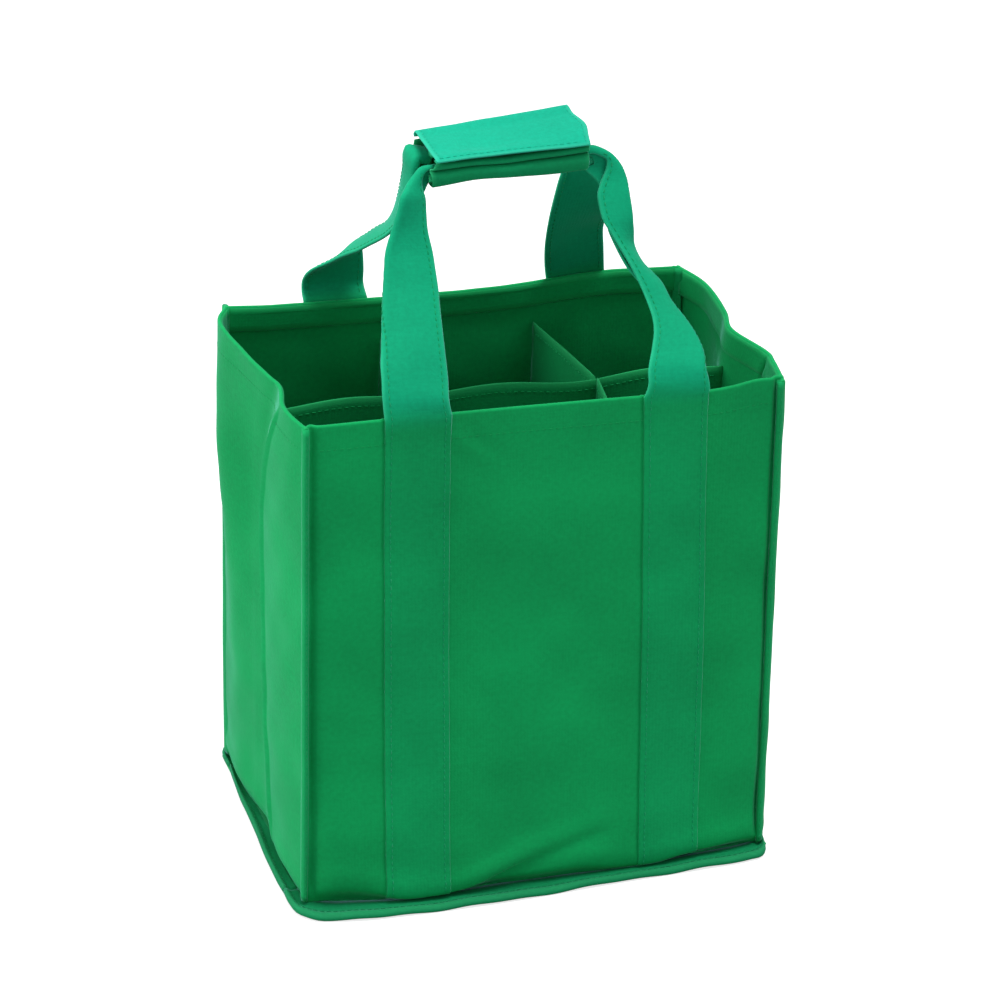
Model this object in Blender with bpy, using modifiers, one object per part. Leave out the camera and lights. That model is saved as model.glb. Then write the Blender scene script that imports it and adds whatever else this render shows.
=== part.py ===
"""Six-cell bottle tote sewn from non-woven sheet, its two strap loops gathered in a wrapped grip.

Metres, +Z up. The origin is on the floor under the middle of the bag, and the front faces -Y.
"""
import math

import bmesh
import bpy
from mathutils import Vector

# Clearances between pieces, and between a sewn joint and what it closes on
GAP = 0.0003

# Sewn body
BODY_WIDTH = 0.240
BODY_DEPTH = 0.154
BODY_HEIGHT = 0.253
SHEET = 0.0010
FRONT_BELLY = 0.013
GUSSET_LOBE = 0.003
CORNER_SEAM_THICKNESS = 0.0022
CORNER_SEAM_PROUD = 0.0035
HEM_HEIGHT = 0.012

# Bound seam that stands out round the foot
BINDING_REACH = 0.006
BINDING_THICKNESS = 0.0022
BINDING_HEIGHT = 0.0065
BINDING_CORNER_RADIUS = 0.008

# Cells and the loose board under them
CELL_COLUMNS = 3
DIVIDER_DROP = 0.017
DIVIDER_FOOT = 0.020
DIVIDER_TAB = 0.010
BOARD_THICKNESS = 0.0025
BOARD_PLAY = 0.001
BOARD_CORNER_RADIUS = 0.004

# Straps
STRAP_WIDTH = 0.031
STRAP_SHEET = 0.0016
STRAP_SPACING = 0.126
STRAP_FOLD_RADIUS = 0.003

# Wrapped grip
GRIP_RISE = 0.0895
GRIP_LENGTH = 0.076
GRIP_DEPTH = 0.038
GRIP_CROWN = 0.0015
WRAP_SHEET = 0.0012
WRAP_CORNER_RADIUS = 0.003
SPAN_PROUD = 0.0015
TONGUE_REACH = 0.024
FLAP_OVERHANG = 0.002
TAPE_THICKNESS = 0.0010
TAPE_WIDTH = 0.013
TAPE_INSET = 0.005

# Where a strap leg has swung over and folded, as shares of its way from rim to grip
LEG_SPREAD_SHARES = (1.0, 0.86, 0.62, 0.24, 0.0)
LEG_DEPTH_SHARES = (1.0, 0.60, 0.26, 0.05, 0.0)
LEG_RISE_SHARES = (0.0, 0.48, 0.80, 0.97, 1.0)
LEG_FOLD_START_SHARE = 0.30

# Counts of faces
WALL_COLUMNS = 12
WALL_ROWS = 6
CORNER_STEPS = 4
LEG_ROWS = 26
LEAF_COLUMNS = 3

# Sizes that follow from the ones above
HALF_WIDTH = BODY_WIDTH / 2
HALF_DEPTH = BODY_DEPTH / 2
WALL_FOOT = SHEET + GAP
PANEL_HALF_WIDTH = HALF_WIDTH - CORNER_SEAM_THICKNESS - GAP
GUSSET_HALF_DEPTH = HALF_DEPTH - SHEET - GAP
DIVIDER_TOP = BODY_HEIGHT - DIVIDER_DROP
CELL_WIDTH = (BODY_WIDTH - 2 * SHEET) / CELL_COLUMNS
BINDING_SPREAD = HALF_WIDTH + BINDING_REACH - BINDING_CORNER_RADIUS
BINDING_SETBACK = HALF_DEPTH + BINDING_REACH - BINDING_CORNER_RADIUS
SPAN_HEIGHT = 2 * STRAP_FOLD_RADIUS + STRAP_SHEET
LEAF_LENGTH = (STRAP_WIDTH - math.pi * STRAP_FOLD_RADIUS) / 2
GRIP_BOTTOM = BODY_HEIGHT + GRIP_RISE
SPAN_MIDDLE = GRIP_BOTTOM + WRAP_SHEET + GAP + SPAN_HEIGHT / 2
SPAN_CREASE = GRIP_DEPTH / 2 - WRAP_SHEET - GAP - STRAP_SHEET / 2
TONGUE_LEVEL = SPAN_MIDDLE + SPAN_HEIGHT / 2 + GAP + WRAP_SHEET / 2
LOOP_LEVEL = TONGUE_LEVEL + (WRAP_SHEET + TAPE_THICKNESS) / 2 + GAP
HOOK_LEVEL = LOOP_LEVEL + TAPE_THICKNESS + GAP
FLAP_LEVEL = HOOK_LEVEL + (WRAP_SHEET + TAPE_THICKNESS) / 2 + GAP
WRAP_HALF_DEPTH = (GRIP_DEPTH - WRAP_SHEET) / 2
LEG_END = GRIP_LENGTH / 2 + SPAN_PROUD + GAP

SIDES = {"left": -1, "right": 1}
FACES = {"front": -1, "back": 1}

PANEL_GREEN = (0.008, 0.235, 0.073, 1.0)
STRAP_GREEN = (0.009, 0.300, 0.125, 1.0)
SEAM_GREEN = (0.010, 0.290, 0.110, 1.0)
INNER_GREEN = (0.006, 0.120, 0.040, 1.0)
GRIP_GREEN = (0.020, 0.480, 0.270, 1.0)
BOARD_GREEN = (0.006, 0.100, 0.035, 1.0)
TAPE_GREEN = (0.010, 0.150, 0.070, 1.0)


def clear_scene():
    """Remove every object that the file starts with."""
    for thing in list(bpy.data.objects):
        bpy.data.objects.remove(thing, do_unlink=True)


def make_material(name, colour, roughness):
    """A matt cloth or board material."""
    material = bpy.data.materials.new(name)
    material.use_nodes = True
    shader = material.node_tree.nodes["Principled BSDF"]
    shader.inputs["Base Color"].default_value = colour
    shader.inputs["Roughness"].default_value = roughness
    shader.inputs["Metallic"].default_value = 0.0
    return material


def link(collection, name, mesh, colour, roughness=0.85):
    """Put a mesh in the scene as one named piece with its own material."""
    mesh.name = name
    piece = bpy.data.objects.new(name, mesh)
    piece.data.materials.append(make_material(name, colour, roughness))
    collection.objects.link(piece)
    return piece


def add_sheet(collection, name, place, columns, rows, thickness, colour):
    """A grid laid out by place(across, up), both from 0 to 1, and thickened about its middle."""
    bm = bmesh.new()
    bmesh.ops.create_grid(bm, x_segments=columns, y_segments=rows, size=1.0)
    for vert in bm.verts:
        vert.co = place((vert.co.x + 1) / 2, (vert.co.y + 1) / 2)
    mesh = bpy.data.meshes.new(name)
    bm.to_mesh(mesh)
    bm.free()
    piece = link(collection, name, mesh, colour)
    solidify = piece.modifiers.new("cloth thickness", "SOLIDIFY")
    solidify.thickness = thickness
    solidify.offset = 0
    solidify.use_even_offset = True
    return piece


def add_path_sheet(collection, name, path, width, thickness, colour):
    """A sheet that keeps one section, a list of (y, z) points, along a width in X."""
    steps = len(path) - 1

    def place(across, up):
        y, z = path[round(across * steps)]
        return Vector(((up - 0.5) * width, y, z))

    return add_sheet(collection, name, place, steps, 1, thickness, colour)


def add_box(collection, name, size, centre, colour):
    """A box of a given size about a centre."""
    bm = bmesh.new()
    bmesh.ops.create_cube(bm, size=1.0)
    bmesh.ops.scale(bm, vec=size, verts=bm.verts)
    mesh = bpy.data.meshes.new(name)
    bm.to_mesh(mesh)
    bm.free()
    piece = link(collection, name, mesh, colour)
    piece.location = centre
    return piece


def mix(low, high, share):
    """The value a share of the way from low to high."""
    return low + (high - low) * share


def ease(share):
    """A smooth step from 0 to 1."""
    held = min(max(share, 0.0), 1.0)
    return held * held * (3 - 2 * held)


def lean(z):
    """How much of the base's bulge a height keeps: all at the floor, none at the rim."""
    return 1 - z / BODY_HEIGHT


def wall_depth(x, z):
    """Distance from the middle plane to the outside of the front or back panel."""
    return HALF_DEPTH + FRONT_BELLY * math.cos(math.pi * x / BODY_WIDTH) * lean(z)


def wall_width(y, z):
    """Distance from the middle plane to the outside of a gusset, creased at its middle."""
    return HALF_WIDTH + GUSSET_LOBE * abs(math.sin(2 * math.pi * y / BODY_DEPTH)) * lean(z)


def base_depth(x, inset):
    """Half depth of the foot's outline, which has round corners, drawn in by an inset."""
    radius = BINDING_CORNER_RADIUS - inset
    past = abs(x) - BINDING_SPREAD
    if past > 0:
        return BINDING_SETBACK + math.sqrt(max(radius * radius - past * past, 0))
    bulge = FRONT_BELLY * math.cos(math.pi * x / (2 * BINDING_SPREAD))
    return BINDING_SETBACK + radius + bulge


def crown(y):
    """Lift of the grip's upper layers over the straps."""
    return GRIP_CROWN * (1 - (y / WRAP_HALF_DEPTH) ** 2)


def rounded_path(points, radius, steps):
    """A path through points, each inner corner turned by an arc."""
    path = [Vector(points[0])]
    for before, corner, after in zip(points, points[1:], points[2:]):
        corner = Vector(corner)
        back = (Vector(before) - corner).normalized()
        ahead = (Vector(after) - corner).normalized()
        half_angle = back.angle(ahead) / 2
        centre = corner + (back + ahead).normalized() * (radius / math.sin(half_angle))
        start = (corner + back * (radius / math.tan(half_angle)) - centre).normalized()
        end = (corner + ahead * (radius / math.tan(half_angle)) - centre).normalized()
        path += [centre + start.slerp(end, step / steps) * radius for step in range(steps + 1)]
    path.append(Vector(points[-1]))
    return path


def add_walls(collection):
    """Front and back panels, creased gussets and the bottom panel."""
    for face, sign in FACES.items():
        def panel(across, up, sign=sign):
            x = mix(-PANEL_HALF_WIDTH, PANEL_HALF_WIDTH, across)
            z = mix(WALL_FOOT, BODY_HEIGHT, up)
            return Vector((x, sign * (wall_depth(x, z) - SHEET / 2), z))

        add_sheet(collection, face + "_panel", panel, WALL_COLUMNS, WALL_ROWS, SHEET, PANEL_GREEN)

    for side, sign in SIDES.items():
        def gusset(across, up, sign=sign):
            y = mix(-GUSSET_HALF_DEPTH, GUSSET_HALF_DEPTH, across)
            z = mix(WALL_FOOT, BODY_HEIGHT, up)
            return Vector((sign * (wall_width(y, z) - SHEET / 2), y, z))

        add_sheet(collection, side + "_gusset", gusset, WALL_COLUMNS, WALL_ROWS, SHEET, PANEL_GREEN)

    inset = BINDING_THICKNESS + GAP
    reach = HALF_WIDTH + BINDING_REACH - inset

    def bottom(across, up):
        x = reach * math.sin(math.pi * (across - 0.5))
        y = base_depth(x, inset) * mix(-1, 1, up)
        return Vector((x, y, SHEET / 2))

    add_sheet(collection, "bottom_panel", bottom, 3 * WALL_COLUMNS, 2, SHEET, PANEL_GREEN)


def add_corner_seams(collection):
    """The sewn edges that stand out in front and behind at the four corners."""
    foot = BINDING_HEIGHT + GAP
    size = Vector((CORNER_SEAM_THICKNESS, CORNER_SEAM_PROUD + SHEET, BODY_HEIGHT - foot))
    x = HALF_WIDTH - CORNER_SEAM_THICKNESS / 2
    y = HALF_DEPTH + (CORNER_SEAM_PROUD - SHEET) / 2
    for face, along in FACES.items():
        for side, across in SIDES.items():
            centre = Vector((across * x, along * y, (BODY_HEIGHT + foot) / 2))
            add_box(collection, face + "_" + side + "_corner_seam", size, centre, SEAM_GREEN)


def add_bindings(collection):
    """The bound seam round the foot: a front and a back strip that turn the corners, and two sides."""
    middle = BINDING_THICKNESS / 2
    radius = BINDING_CORNER_RADIUS - middle
    bends = CORNER_STEPS
    steps = WALL_COLUMNS + 2 * bends

    def outline(step):
        if step < bends:
            angle = math.pi / 2 * step / bends
            x = -BINDING_SPREAD - radius * math.cos(angle)
            return x, BINDING_SETBACK + radius * math.sin(angle)
        if step > steps - bends:
            x, y = outline(steps - step)
            return -x, y
        x = mix(-BINDING_SPREAD, BINDING_SPREAD, (step - bends) / WALL_COLUMNS)
        return x, base_depth(x, middle)

    for face, sign in FACES.items():
        def strip(across, up, sign=sign):
            x, y = outline(round(across * steps))
            return Vector((x, sign * y, BINDING_HEIGHT * up))

        add_sheet(collection, face + "_base_binding", strip, steps, 1, BINDING_THICKNESS, SEAM_GREEN)

    size = Vector((BINDING_THICKNESS, 2 * (BINDING_SETBACK - GAP), BINDING_HEIGHT))
    for side, sign in SIDES.items():
        centre = Vector((sign * (BINDING_SPREAD + radius), 0, BINDING_HEIGHT / 2))
        add_box(collection, side + "_base_binding", size, centre, SEAM_GREEN)


def add_hems(collection):
    """The rim's folded hems, which lie inside the walls."""
    inside = SHEET + GAP + SHEET / 2
    low = BODY_HEIGHT - HEM_HEIGHT
    half_width = HALF_WIDTH - SHEET - GAP
    for face, sign in FACES.items():
        def long_hem(across, up, sign=sign):
            x = mix(-half_width, half_width, across)
            z = mix(low, BODY_HEIGHT, up)
            return Vector((x, sign * (wall_depth(x, z) - inside), z))

        add_sheet(collection, face + "_rim_hem", long_hem, WALL_COLUMNS, 1, SHEET, PANEL_GREEN)

    half_depth = HALF_DEPTH - 2 * (SHEET + GAP)
    for side, sign in SIDES.items():
        def side_hem(across, up, sign=sign):
            y = mix(-half_depth, half_depth, across)
            z = mix(low, BODY_HEIGHT, up)
            return Vector((sign * (wall_width(y, z) - inside), y, z))

        add_sheet(collection, side + "_rim_hem", side_hem, WALL_COLUMNS, 1, SHEET, PANEL_GREEN)


def add_dividers(collection):
    """One long divider and the cross dividers, each with a tab sewn to what it meets."""
    inside = SHEET + GAP + SHEET / 2

    def long_divider(across, up):
        z = mix(DIVIDER_FOOT, DIVIDER_TOP, up)
        end = wall_width(0, z) - inside
        tab_end = wall_width(DIVIDER_TAB, z) - inside
        plan = ((-tab_end, DIVIDER_TAB), (-end, 0), (end, 0), (tab_end, -DIVIDER_TAB))
        x, y = plan[round(3 * across)]
        return Vector((x, y, z))

    add_sheet(collection, "long_divider", long_divider, 3, WALL_ROWS, SHEET, INNER_GREEN)

    seams = CELL_COLUMNS - 1
    for face, along in FACES.items():
        for number in range(seams):
            line = (number - (seams - 1) / 2) * CELL_WIDTH
            outward = math.copysign(DIVIDER_TAB, line)

            def cross_divider(across, up, along=along, line=line, outward=outward):
                z = mix(DIVIDER_FOOT, DIVIDER_TOP, up)
                tab = line + outward
                plan = (
                    (tab, wall_depth(tab, z) - inside),
                    (line, wall_depth(line, z) - inside),
                    (line, SHEET + GAP),
                    (tab, SHEET + GAP),
                )
                x, y = plan[round(3 * across)]
                return Vector((x, along * y, z))

            name = face + "_cross_divider_" + str(number + 1)
            add_sheet(collection, name, cross_divider, 3, WALL_ROWS, SHEET, INNER_GREEN)


def add_board(collection):
    """The stiff board that lies loose on the bottom panel."""
    size = Vector((
        BODY_WIDTH - 2 * (SHEET + BOARD_PLAY),
        BODY_DEPTH - 2 * (SHEET + BOARD_PLAY),
        BOARD_THICKNESS,
    ))
    centre = Vector((0, 0, WALL_FOOT + BOARD_THICKNESS / 2))
    board = add_box(collection, "base_board", size, centre, BOARD_GREEN)
    corners = [edge for edge in board.data.edges if is_upright(board.data, edge)]
    weights = board.data.attributes.new("bevel_weight_edge", "FLOAT", "EDGE")
    for edge in corners:
        weights.data[edge.index].value = 1.0
    bevel = board.modifiers.new("round corners", "BEVEL")
    bevel.limit_method = "WEIGHT"
    bevel.width = BOARD_CORNER_RADIUS
    bevel.segments = CORNER_STEPS


def is_upright(mesh, edge):
    """Whether an edge runs along Z."""
    low, high = (mesh.vertices[index].co for index in edge.vertices)
    return (high - low).normalized().z ** 2 > 0.5


def add_strap_runs(collection):
    """The strap lengths sewn flat down the outside of the front and back panels."""
    outside = GAP + STRAP_SHEET / 2
    for face, along in FACES.items():
        for side, across_sign in SIDES.items():
            def run(across, up, along=along, across_sign=across_sign):
                x = across_sign * STRAP_SPACING / 2 + (across - 0.5) * STRAP_WIDTH
                z = mix(WALL_FOOT, BODY_HEIGHT, up)
                return Vector((x, along * (wall_depth(x, z) + outside), z))

            name = face + "_" + side + "_strap_run"
            add_sheet(collection, name, run, 4, WALL_ROWS, STRAP_SHEET, STRAP_GREEN)


def strap_section(across, fold):
    """A strap's section folded lengthwise: (along the flat strap, into the fold), fold in radians.

    The middle bends on a fixed radius, and the two leaves swing in from it.
    """
    reach = (across - 0.5) * STRAP_WIDTH
    if fold <= 0:
        return reach, 0.0
    radius = STRAP_FOLD_RADIUS * math.pi / fold
    bent = min(abs(reach), radius * fold / 2)
    turn = bent / radius
    leaf = abs(reach) - bent
    flat = radius * math.sin(turn) + leaf * math.cos(turn)
    deep = radius * (1 - math.cos(turn)) + leaf * math.sin(turn)
    return math.copysign(flat, reach), deep


def leg_shape():
    """Centre points and directions of one strap leg, front right, from the rim to the grip."""
    rim = Vector((STRAP_SPACING / 2, -(HALF_DEPTH + GAP + STRAP_SHEET / 2), BODY_HEIGHT + GAP))
    grip = Vector((LEG_END, -SPAN_CREASE, SPAN_MIDDLE))
    knots = []
    for spread, depth, rise in zip(LEG_SPREAD_SHARES, LEG_DEPTH_SHARES, LEG_RISE_SHARES):
        x = mix(grip.x, rim.x, spread)
        y = mix(grip.y, rim.y, depth)
        knots.append(Vector((x, y, mix(rim.z, grip.z, rise))))
    first = (knots[1] - knots[0]).length
    last = (knots[-1] - knots[-2]).length
    slopes = [Vector((0, 0, first))]
    slopes += [(after - before) / 2 for before, after in zip(knots, knots[2:])]
    slopes.append(Vector((-last, 0, 0)))
    return knots, slopes


def leg_station(knots, slopes, share):
    """The point and direction at a share of the way along the leg's smooth curve."""
    spans = len(knots) - 1
    place = min(int(share * spans), spans - 1)
    t = share * spans - place
    start, end = knots[place], knots[place + 1]
    leave, arrive = slopes[place], slopes[place + 1]
    point = (
        start * (2 * t ** 3 - 3 * t ** 2 + 1)
        + leave * (t ** 3 - 2 * t ** 2 + t)
        + end * (3 * t ** 2 - 2 * t ** 3)
        + arrive * (t ** 3 - t ** 2)
    )
    slope = (
        start * (6 * t ** 2 - 6 * t)
        + leave * (3 * t ** 2 - 4 * t + 1)
        + end * (6 * t - 6 * t ** 2)
        + arrive * (3 * t ** 2 - 2 * t)
    )
    return point, slope.normalized()


def add_handle_legs(collection):
    """The free strap lengths, which swing over and fold in two between the rim and the grip."""
    knots, slopes = leg_shape()

    def leg(across, up, across_sign, along):
        point, ahead = leg_station(knots, slopes, up)
        swing = math.pi / 2 * ease(up)
        flat = Vector((math.cos(swing), 0, math.sin(swing)))
        flat = (flat - ahead * flat.dot(ahead)).normalized()
        inward = ahead.cross(flat)
        fold = math.pi * ease((up - LEG_FOLD_START_SHARE) / (1 - LEG_FOLD_START_SHARE))
        wide, deep = strap_section(across, fold)
        place = point + flat * wide + inward * deep
        return Vector((across_sign * place.x, -along * place.y, place.z))

    columns = 4 * LEAF_COLUMNS
    for face, along in FACES.items():
        for side, across_sign in SIDES.items():
            def place(across, up, across_sign=across_sign, along=along):
                return leg(across, up, across_sign, along)

            name = face + "_" + side + "_handle_leg"
            add_sheet(collection, name, place, columns, LEG_ROWS, STRAP_SHEET, STRAP_GREEN)


def add_handle_spans(collection):
    """The middle of each strap, folded in two inside the grip."""
    columns = 4 * LEAF_COLUMNS
    for face, along in FACES.items():
        path = []
        for step in range(columns + 1):
            wide, deep = strap_section(step / columns, math.pi)
            path.append((along * (SPAN_CREASE - deep), SPAN_MIDDLE + wide))
        length = GRIP_LENGTH + 2 * SPAN_PROUD
        name = face + "_handle_span"
        add_path_sheet(collection, name, path, length, STRAP_SHEET, STRAP_GREEN)


def layer(start, end, level, steps):
    """Section of one crowned layer of the grip, as (y, z) points from start to end."""
    places = [mix(start, end, step / steps) for step in range(steps + 1)]
    return [(y, level + crown(y)) for y in places]


def add_grip(collection):
    """The wrap round both straps, with its tongue, the two tapes and the flap that closes on them."""
    back_top = FLAP_LEVEL - WRAP_SHEET / 2 - GAP
    floor = GRIP_BOTTOM + WRAP_SHEET / 2
    tongue_end = TONGUE_REACH - WRAP_HALF_DEPTH
    corners = [
        (WRAP_HALF_DEPTH, back_top),
        (WRAP_HALF_DEPTH, floor),
        (-WRAP_HALF_DEPTH, floor),
        (-WRAP_HALF_DEPTH, TONGUE_LEVEL),
        (tongue_end, TONGUE_LEVEL),
    ]
    wrap = [tuple(point) for point in rounded_path(corners, WRAP_CORNER_RADIUS, CORNER_STEPS)]
    tongue = layer(WRAP_CORNER_RADIUS - WRAP_HALF_DEPTH, tongue_end, TONGUE_LEVEL, 2 * CORNER_STEPS)
    wrap = wrap[:-1] + tongue[1:]
    add_path_sheet(collection, "grip_wrap", wrap, GRIP_LENGTH, WRAP_SHEET, GRIP_GREEN)

    start = TAPE_INSET - WRAP_HALF_DEPTH
    tape_length = GRIP_LENGTH - 2 * TAPE_INSET
    for name, level in (("loop_tape", LOOP_LEVEL), ("hook_tape", HOOK_LEVEL)):
        tape = layer(start, start + TAPE_WIDTH, level, CORNER_STEPS)
        add_path_sheet(collection, name, tape, tape_length, TAPE_THICKNESS, TAPE_GREEN)

    front_edge = -(GRIP_DEPTH / 2 + FLAP_OVERHANG)
    flap = layer(WRAP_HALF_DEPTH, front_edge, FLAP_LEVEL, 3 * CORNER_STEPS)
    add_path_sheet(collection, "grip_flap", flap, GRIP_LENGTH, WRAP_SHEET, GRIP_GREEN)


def hang_from_axis(name, axis_object):
    """Parent a piece to an empty on its joint's axis, without moving it."""
    piece = bpy.data.objects[name]
    piece.parent = axis_object
    piece.location = piece.location - axis_object.location


def add_axes(collection):
    """Empties on the joints: the flap's fold line, the grip's drop and the board's lift."""
    places = {
        "flap_axis": (0, WRAP_HALF_DEPTH, FLAP_LEVEL),
        "grip_axis": (0, 0, GRIP_BOTTOM),
        "board_axis": (0, 0, WALL_FOOT),
    }
    axes = {}
    for name, place in places.items():
        axes[name] = bpy.data.objects.new(name, None)
        axes[name].location = place
        collection.objects.link(axes[name])
    for name in ("grip_flap", "hook_tape"):
        hang_from_axis(name, axes["flap_axis"])
    for name in ("grip_wrap", "loop_tape", "front_handle_span", "back_handle_span"):
        hang_from_axis(name, axes["grip_axis"])
    hang_from_axis("base_board", axes["board_axis"])


def build():
    """Make every piece of the tote."""
    clear_scene()
    collection = bpy.data.collections.new("bottle_tote")
    bpy.context.scene.collection.children.link(collection)
    add_walls(collection)
    add_corner_seams(collection)
    add_bindings(collection)
    add_hems(collection)
    add_dividers(collection)
    add_board(collection)
    add_strap_runs(collection)
    add_handle_legs(collection)
    add_handle_spans(collection)
    add_grip(collection)
    add_axes(collection)


build()
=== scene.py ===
"""A six-cell bottle tote of non-woven sheet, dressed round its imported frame.

Tables and sizes are in millimetres, in the frame's own axes: +X to the right, +Y to the back, +Z up.
"""

import math

import bpy
import numpy as np
from mathutils import Matrix, Vector


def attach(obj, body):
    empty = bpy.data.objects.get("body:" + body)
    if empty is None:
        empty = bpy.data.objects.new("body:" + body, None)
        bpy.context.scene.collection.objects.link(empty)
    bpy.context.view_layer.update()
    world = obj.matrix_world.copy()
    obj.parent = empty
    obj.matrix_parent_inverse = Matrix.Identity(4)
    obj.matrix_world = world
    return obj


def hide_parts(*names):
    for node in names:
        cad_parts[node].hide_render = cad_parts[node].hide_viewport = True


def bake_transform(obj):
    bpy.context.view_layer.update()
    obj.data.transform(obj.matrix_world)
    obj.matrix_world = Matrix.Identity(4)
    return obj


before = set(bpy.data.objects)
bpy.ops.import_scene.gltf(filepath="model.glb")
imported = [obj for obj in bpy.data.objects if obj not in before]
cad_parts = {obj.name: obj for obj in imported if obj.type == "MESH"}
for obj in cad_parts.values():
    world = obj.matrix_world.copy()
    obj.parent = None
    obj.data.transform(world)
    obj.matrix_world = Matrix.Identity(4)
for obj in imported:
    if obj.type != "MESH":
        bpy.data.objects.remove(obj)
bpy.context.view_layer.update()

MM = 0.001

# Cloth and thread
SHEET = 1.0
STRAP_SHEET = 1.5
WRAP_SHEET = 1.1
BOTTOM_SHEET = 0.8
STRAP_WIDTH = 31.0
WORN_BAND = 1.3
EDGE_ROUND_SHARE = 0.42
STITCH_PITCH = 3.3
STITCH_LENGTH = 2.5
THREAD_RADIUS = 0.25
FINE_THREAD_RADIUS = 0.17
STITCH_INSET = 2.4
STRAP_SEWN_SHEET = 0.7
STRAP_COLUMNS = 26

# Levels
RIM = 253.0
FOOT = 2.8
HEM_DROP = 12.0
# The rim's roll to the inside: its radius, and the rows of cloth round it and down behind it
RIM_ROLL = 0.62
ROLL_ROWS = 9
ROLL_DROPS = (1.5, 3.0)
ROLLED_ROWS = ROLL_ROWS + len(ROLL_DROPS)
# Above this height the front follows its uneven rim
RIM_LIFT_FROM = 190.0
DIVIDER_FOOT, DIVIDER_TOP = 20.7, 232
DIVIDER_STITCH_INSET = 4.5

# Front wall: Y at its rim, and along X its belly, the seam it tucks in to at the foot, and its fold's height
FRONT_TOP = -77
FRONT_BELLY = {
    -120: -80, -118: -80.4, -108: -86.6, -98: -89, -84: -90.8, -72: -92, -60: -92.4, -35: -92.4,
    -12: -92, 17: -90.5, 45: -88.6, 64: -87.6, 78: -86.6, 90: -86, 105: -84, 118: -80.8, 120: -80.4,
}
FRONT_SEAM = {
    -120: -79.6, -118: -80, -108: -81.4, -98: -82.4, -84: -85.6, -72: -89.0, -60: -89.6, -47: -88.6,
    -33: -87.6, -12: -86.8, 17: -86.4, 45: -87, 60: -86.4, 72: -83, 90: -80, 105: -78.9, 118: -78.6,
    120: -78.6,
}
FRONT_FOLD_HEIGHT = {
    -120: 8, -108: 13, -98: 13.5, -84: 9.5, -72: 5.5, -60: 5, -47: 5.5, -35: 7, -20: 9, 4: 10,
    20: 10, 35: 6.5, 46: 5, 60: 5, 70: 6.5, 90: 8, 105: 9, 118: 8, 120: 8,
}
# A slack crease that climbs from the left strap's foot
CREASE_HEIGHT = {-58: 3, -47: 5, -35: 8.5, -25: 12.5, -16: 16, -6: 19.5, 8: 23.5, 24: 27.5, 40: 31}
CREASE_DEPTH = {-58: 0, -47: 0.6, -35: 1.9, -25: 2.8, -16: 2.8, -6: 2.3, 8: 1.6, 24: 0.9, 40: 0}
FRONT_RIM_HEIGHT = {
    -120: 253, -50: 253, -14: 252.7, 25: 252.2, 48: 251.8, 79: 251.2, 93: 252.4, 105: 254.4, 120: 253.6,
}

# Back wall
BACK_FOOT = {-120: 79, -112: 82, -90: 86, -50: 89.6, 0: 90.5, 50: 89.4, 90: 86, 112: 82, 120: 79}
BACK_RIM = {-120: 79, -113: 77.5, -60: 73, -11: 71.6, 21: 72.4, 83: 80.4, 112: 77.5, 120: 77}

# Gussets: (x, y) of seven stations from front to back, at six levels
LEFT_GUSSET = {
    253: (
        (-119, -77), (-122.2, -62), (-122.4, -46), (-118.8, -25), (-121.6, -6.6), (-127.6, 54), (-119, 79.5),
    ),
    226: ((-119, -77), (-122.8, -56), (-123.4, -29), (-118, -9), (-120.8, 8), (-128.4, 54), (-119.8, 78)),
    195: ((-119, -77), (-122.8, -48), (-123, -15), (-117.6, 4), (-119.5, 20), (-129.2, 52), (-119.9, 77.5)),
    130: (
        (-119, -77.8), (-122.8, -49), (-122.9, -16), (-117.6, 3), (-119.3, 20), (-124.8, 49), (-119.8, 77.8),
    ),
    60: ((-119.2, -79), (-122.6, -51), (-122.5, -21), (-118, 0), (-119.3, 18), (-122.4, 45), (-119.7, 78.4)),
    4: (
        (-119.4, -79.5), (-121.6, -52), (-121, -26), (-118.1, -2), (-119.5, 18), (-121.8, 41), (-119.3, 78.8),
    ),
}
GUSSET_CREASE = {253: -45, 226: -29, 195: -15, 130: -16, 60: -21, 4: -26}
RIGHT_GUSSET = {
    253: ((118.6, -77), (122.6, -52), (123.2, -40), (116.8, -10), (121.6, 14), (124.6, 50), (118.8, 77)),
    226: ((118.8, -77), (122.6, -50), (122.6, -28), (116.4, 0), (120.8, 20), (124.2, 50), (119.2, 77.2)),
    195: ((119, -77), (122.4, -46), (121.8, -20), (116.8, 4), (120.4, 24), (123.6, 50), (119.4, 77.5)),
    130: ((119, -77.8), (122, -44), (121.2, -18), (117.4, 4), (120.2, 24), (123, 50), (119.4, 78)),
    60: ((119, -79), (121.6, -42), (120.8, -16), (118, 4), (120, 22), (122.2, 46), (119.4, 78.4)),
    4: ((118.8, -80), (121.4, -44), (120.2, -20), (118.6, 4), (119.8, 20), (121.6, 44), (119.2, 78.8)),
}

# Bound seam round the foot: its outer and inner edges, in matching stations
FLANGE_OUTER_FRONT = (
    (-125.8, -65.7), (-125.9, -78), (-123.7, -88.4), (-118.6, -94.5), (-107, -98.2), (-95.7, -100.6),
    (-74, -101.8), (-35, -102), (-12, -101.2), (38, -97.6), (81, -95.6), (108, -93.4), (114.4, -91.8),
    (118, -87.4), (120.4, -79), (122.4, -66),
)
FLANGE_INNER_FRONT = (
    (-118, -66), (-117.6, -72), (-117, -76), (-114, -78), (-106, -82), (-96, -84), (-74, -88),
    (-35, -86.6), (-12, -85.6), (38, -85.6), (81, -82), (106, -79.6), (113, -78), (116.6, -76), (117.6, -72),
    (118, -66),
)
FLANGE_OUTER_LEFT = (
    (-125.8, -65.4), (-126.2, -40), (-125.6, -20), (-124.2, 3), (-123.9, 28), (-122.4, 50), (-121, 65.4),
)
FLANGE_INNER_LEFT = (
    (-118, -65.4), (-119, -42), (-118, -20), (-115.8, 5), (-117.4, 25), (-119.4, 44), (-117, 65.4),
)
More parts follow.
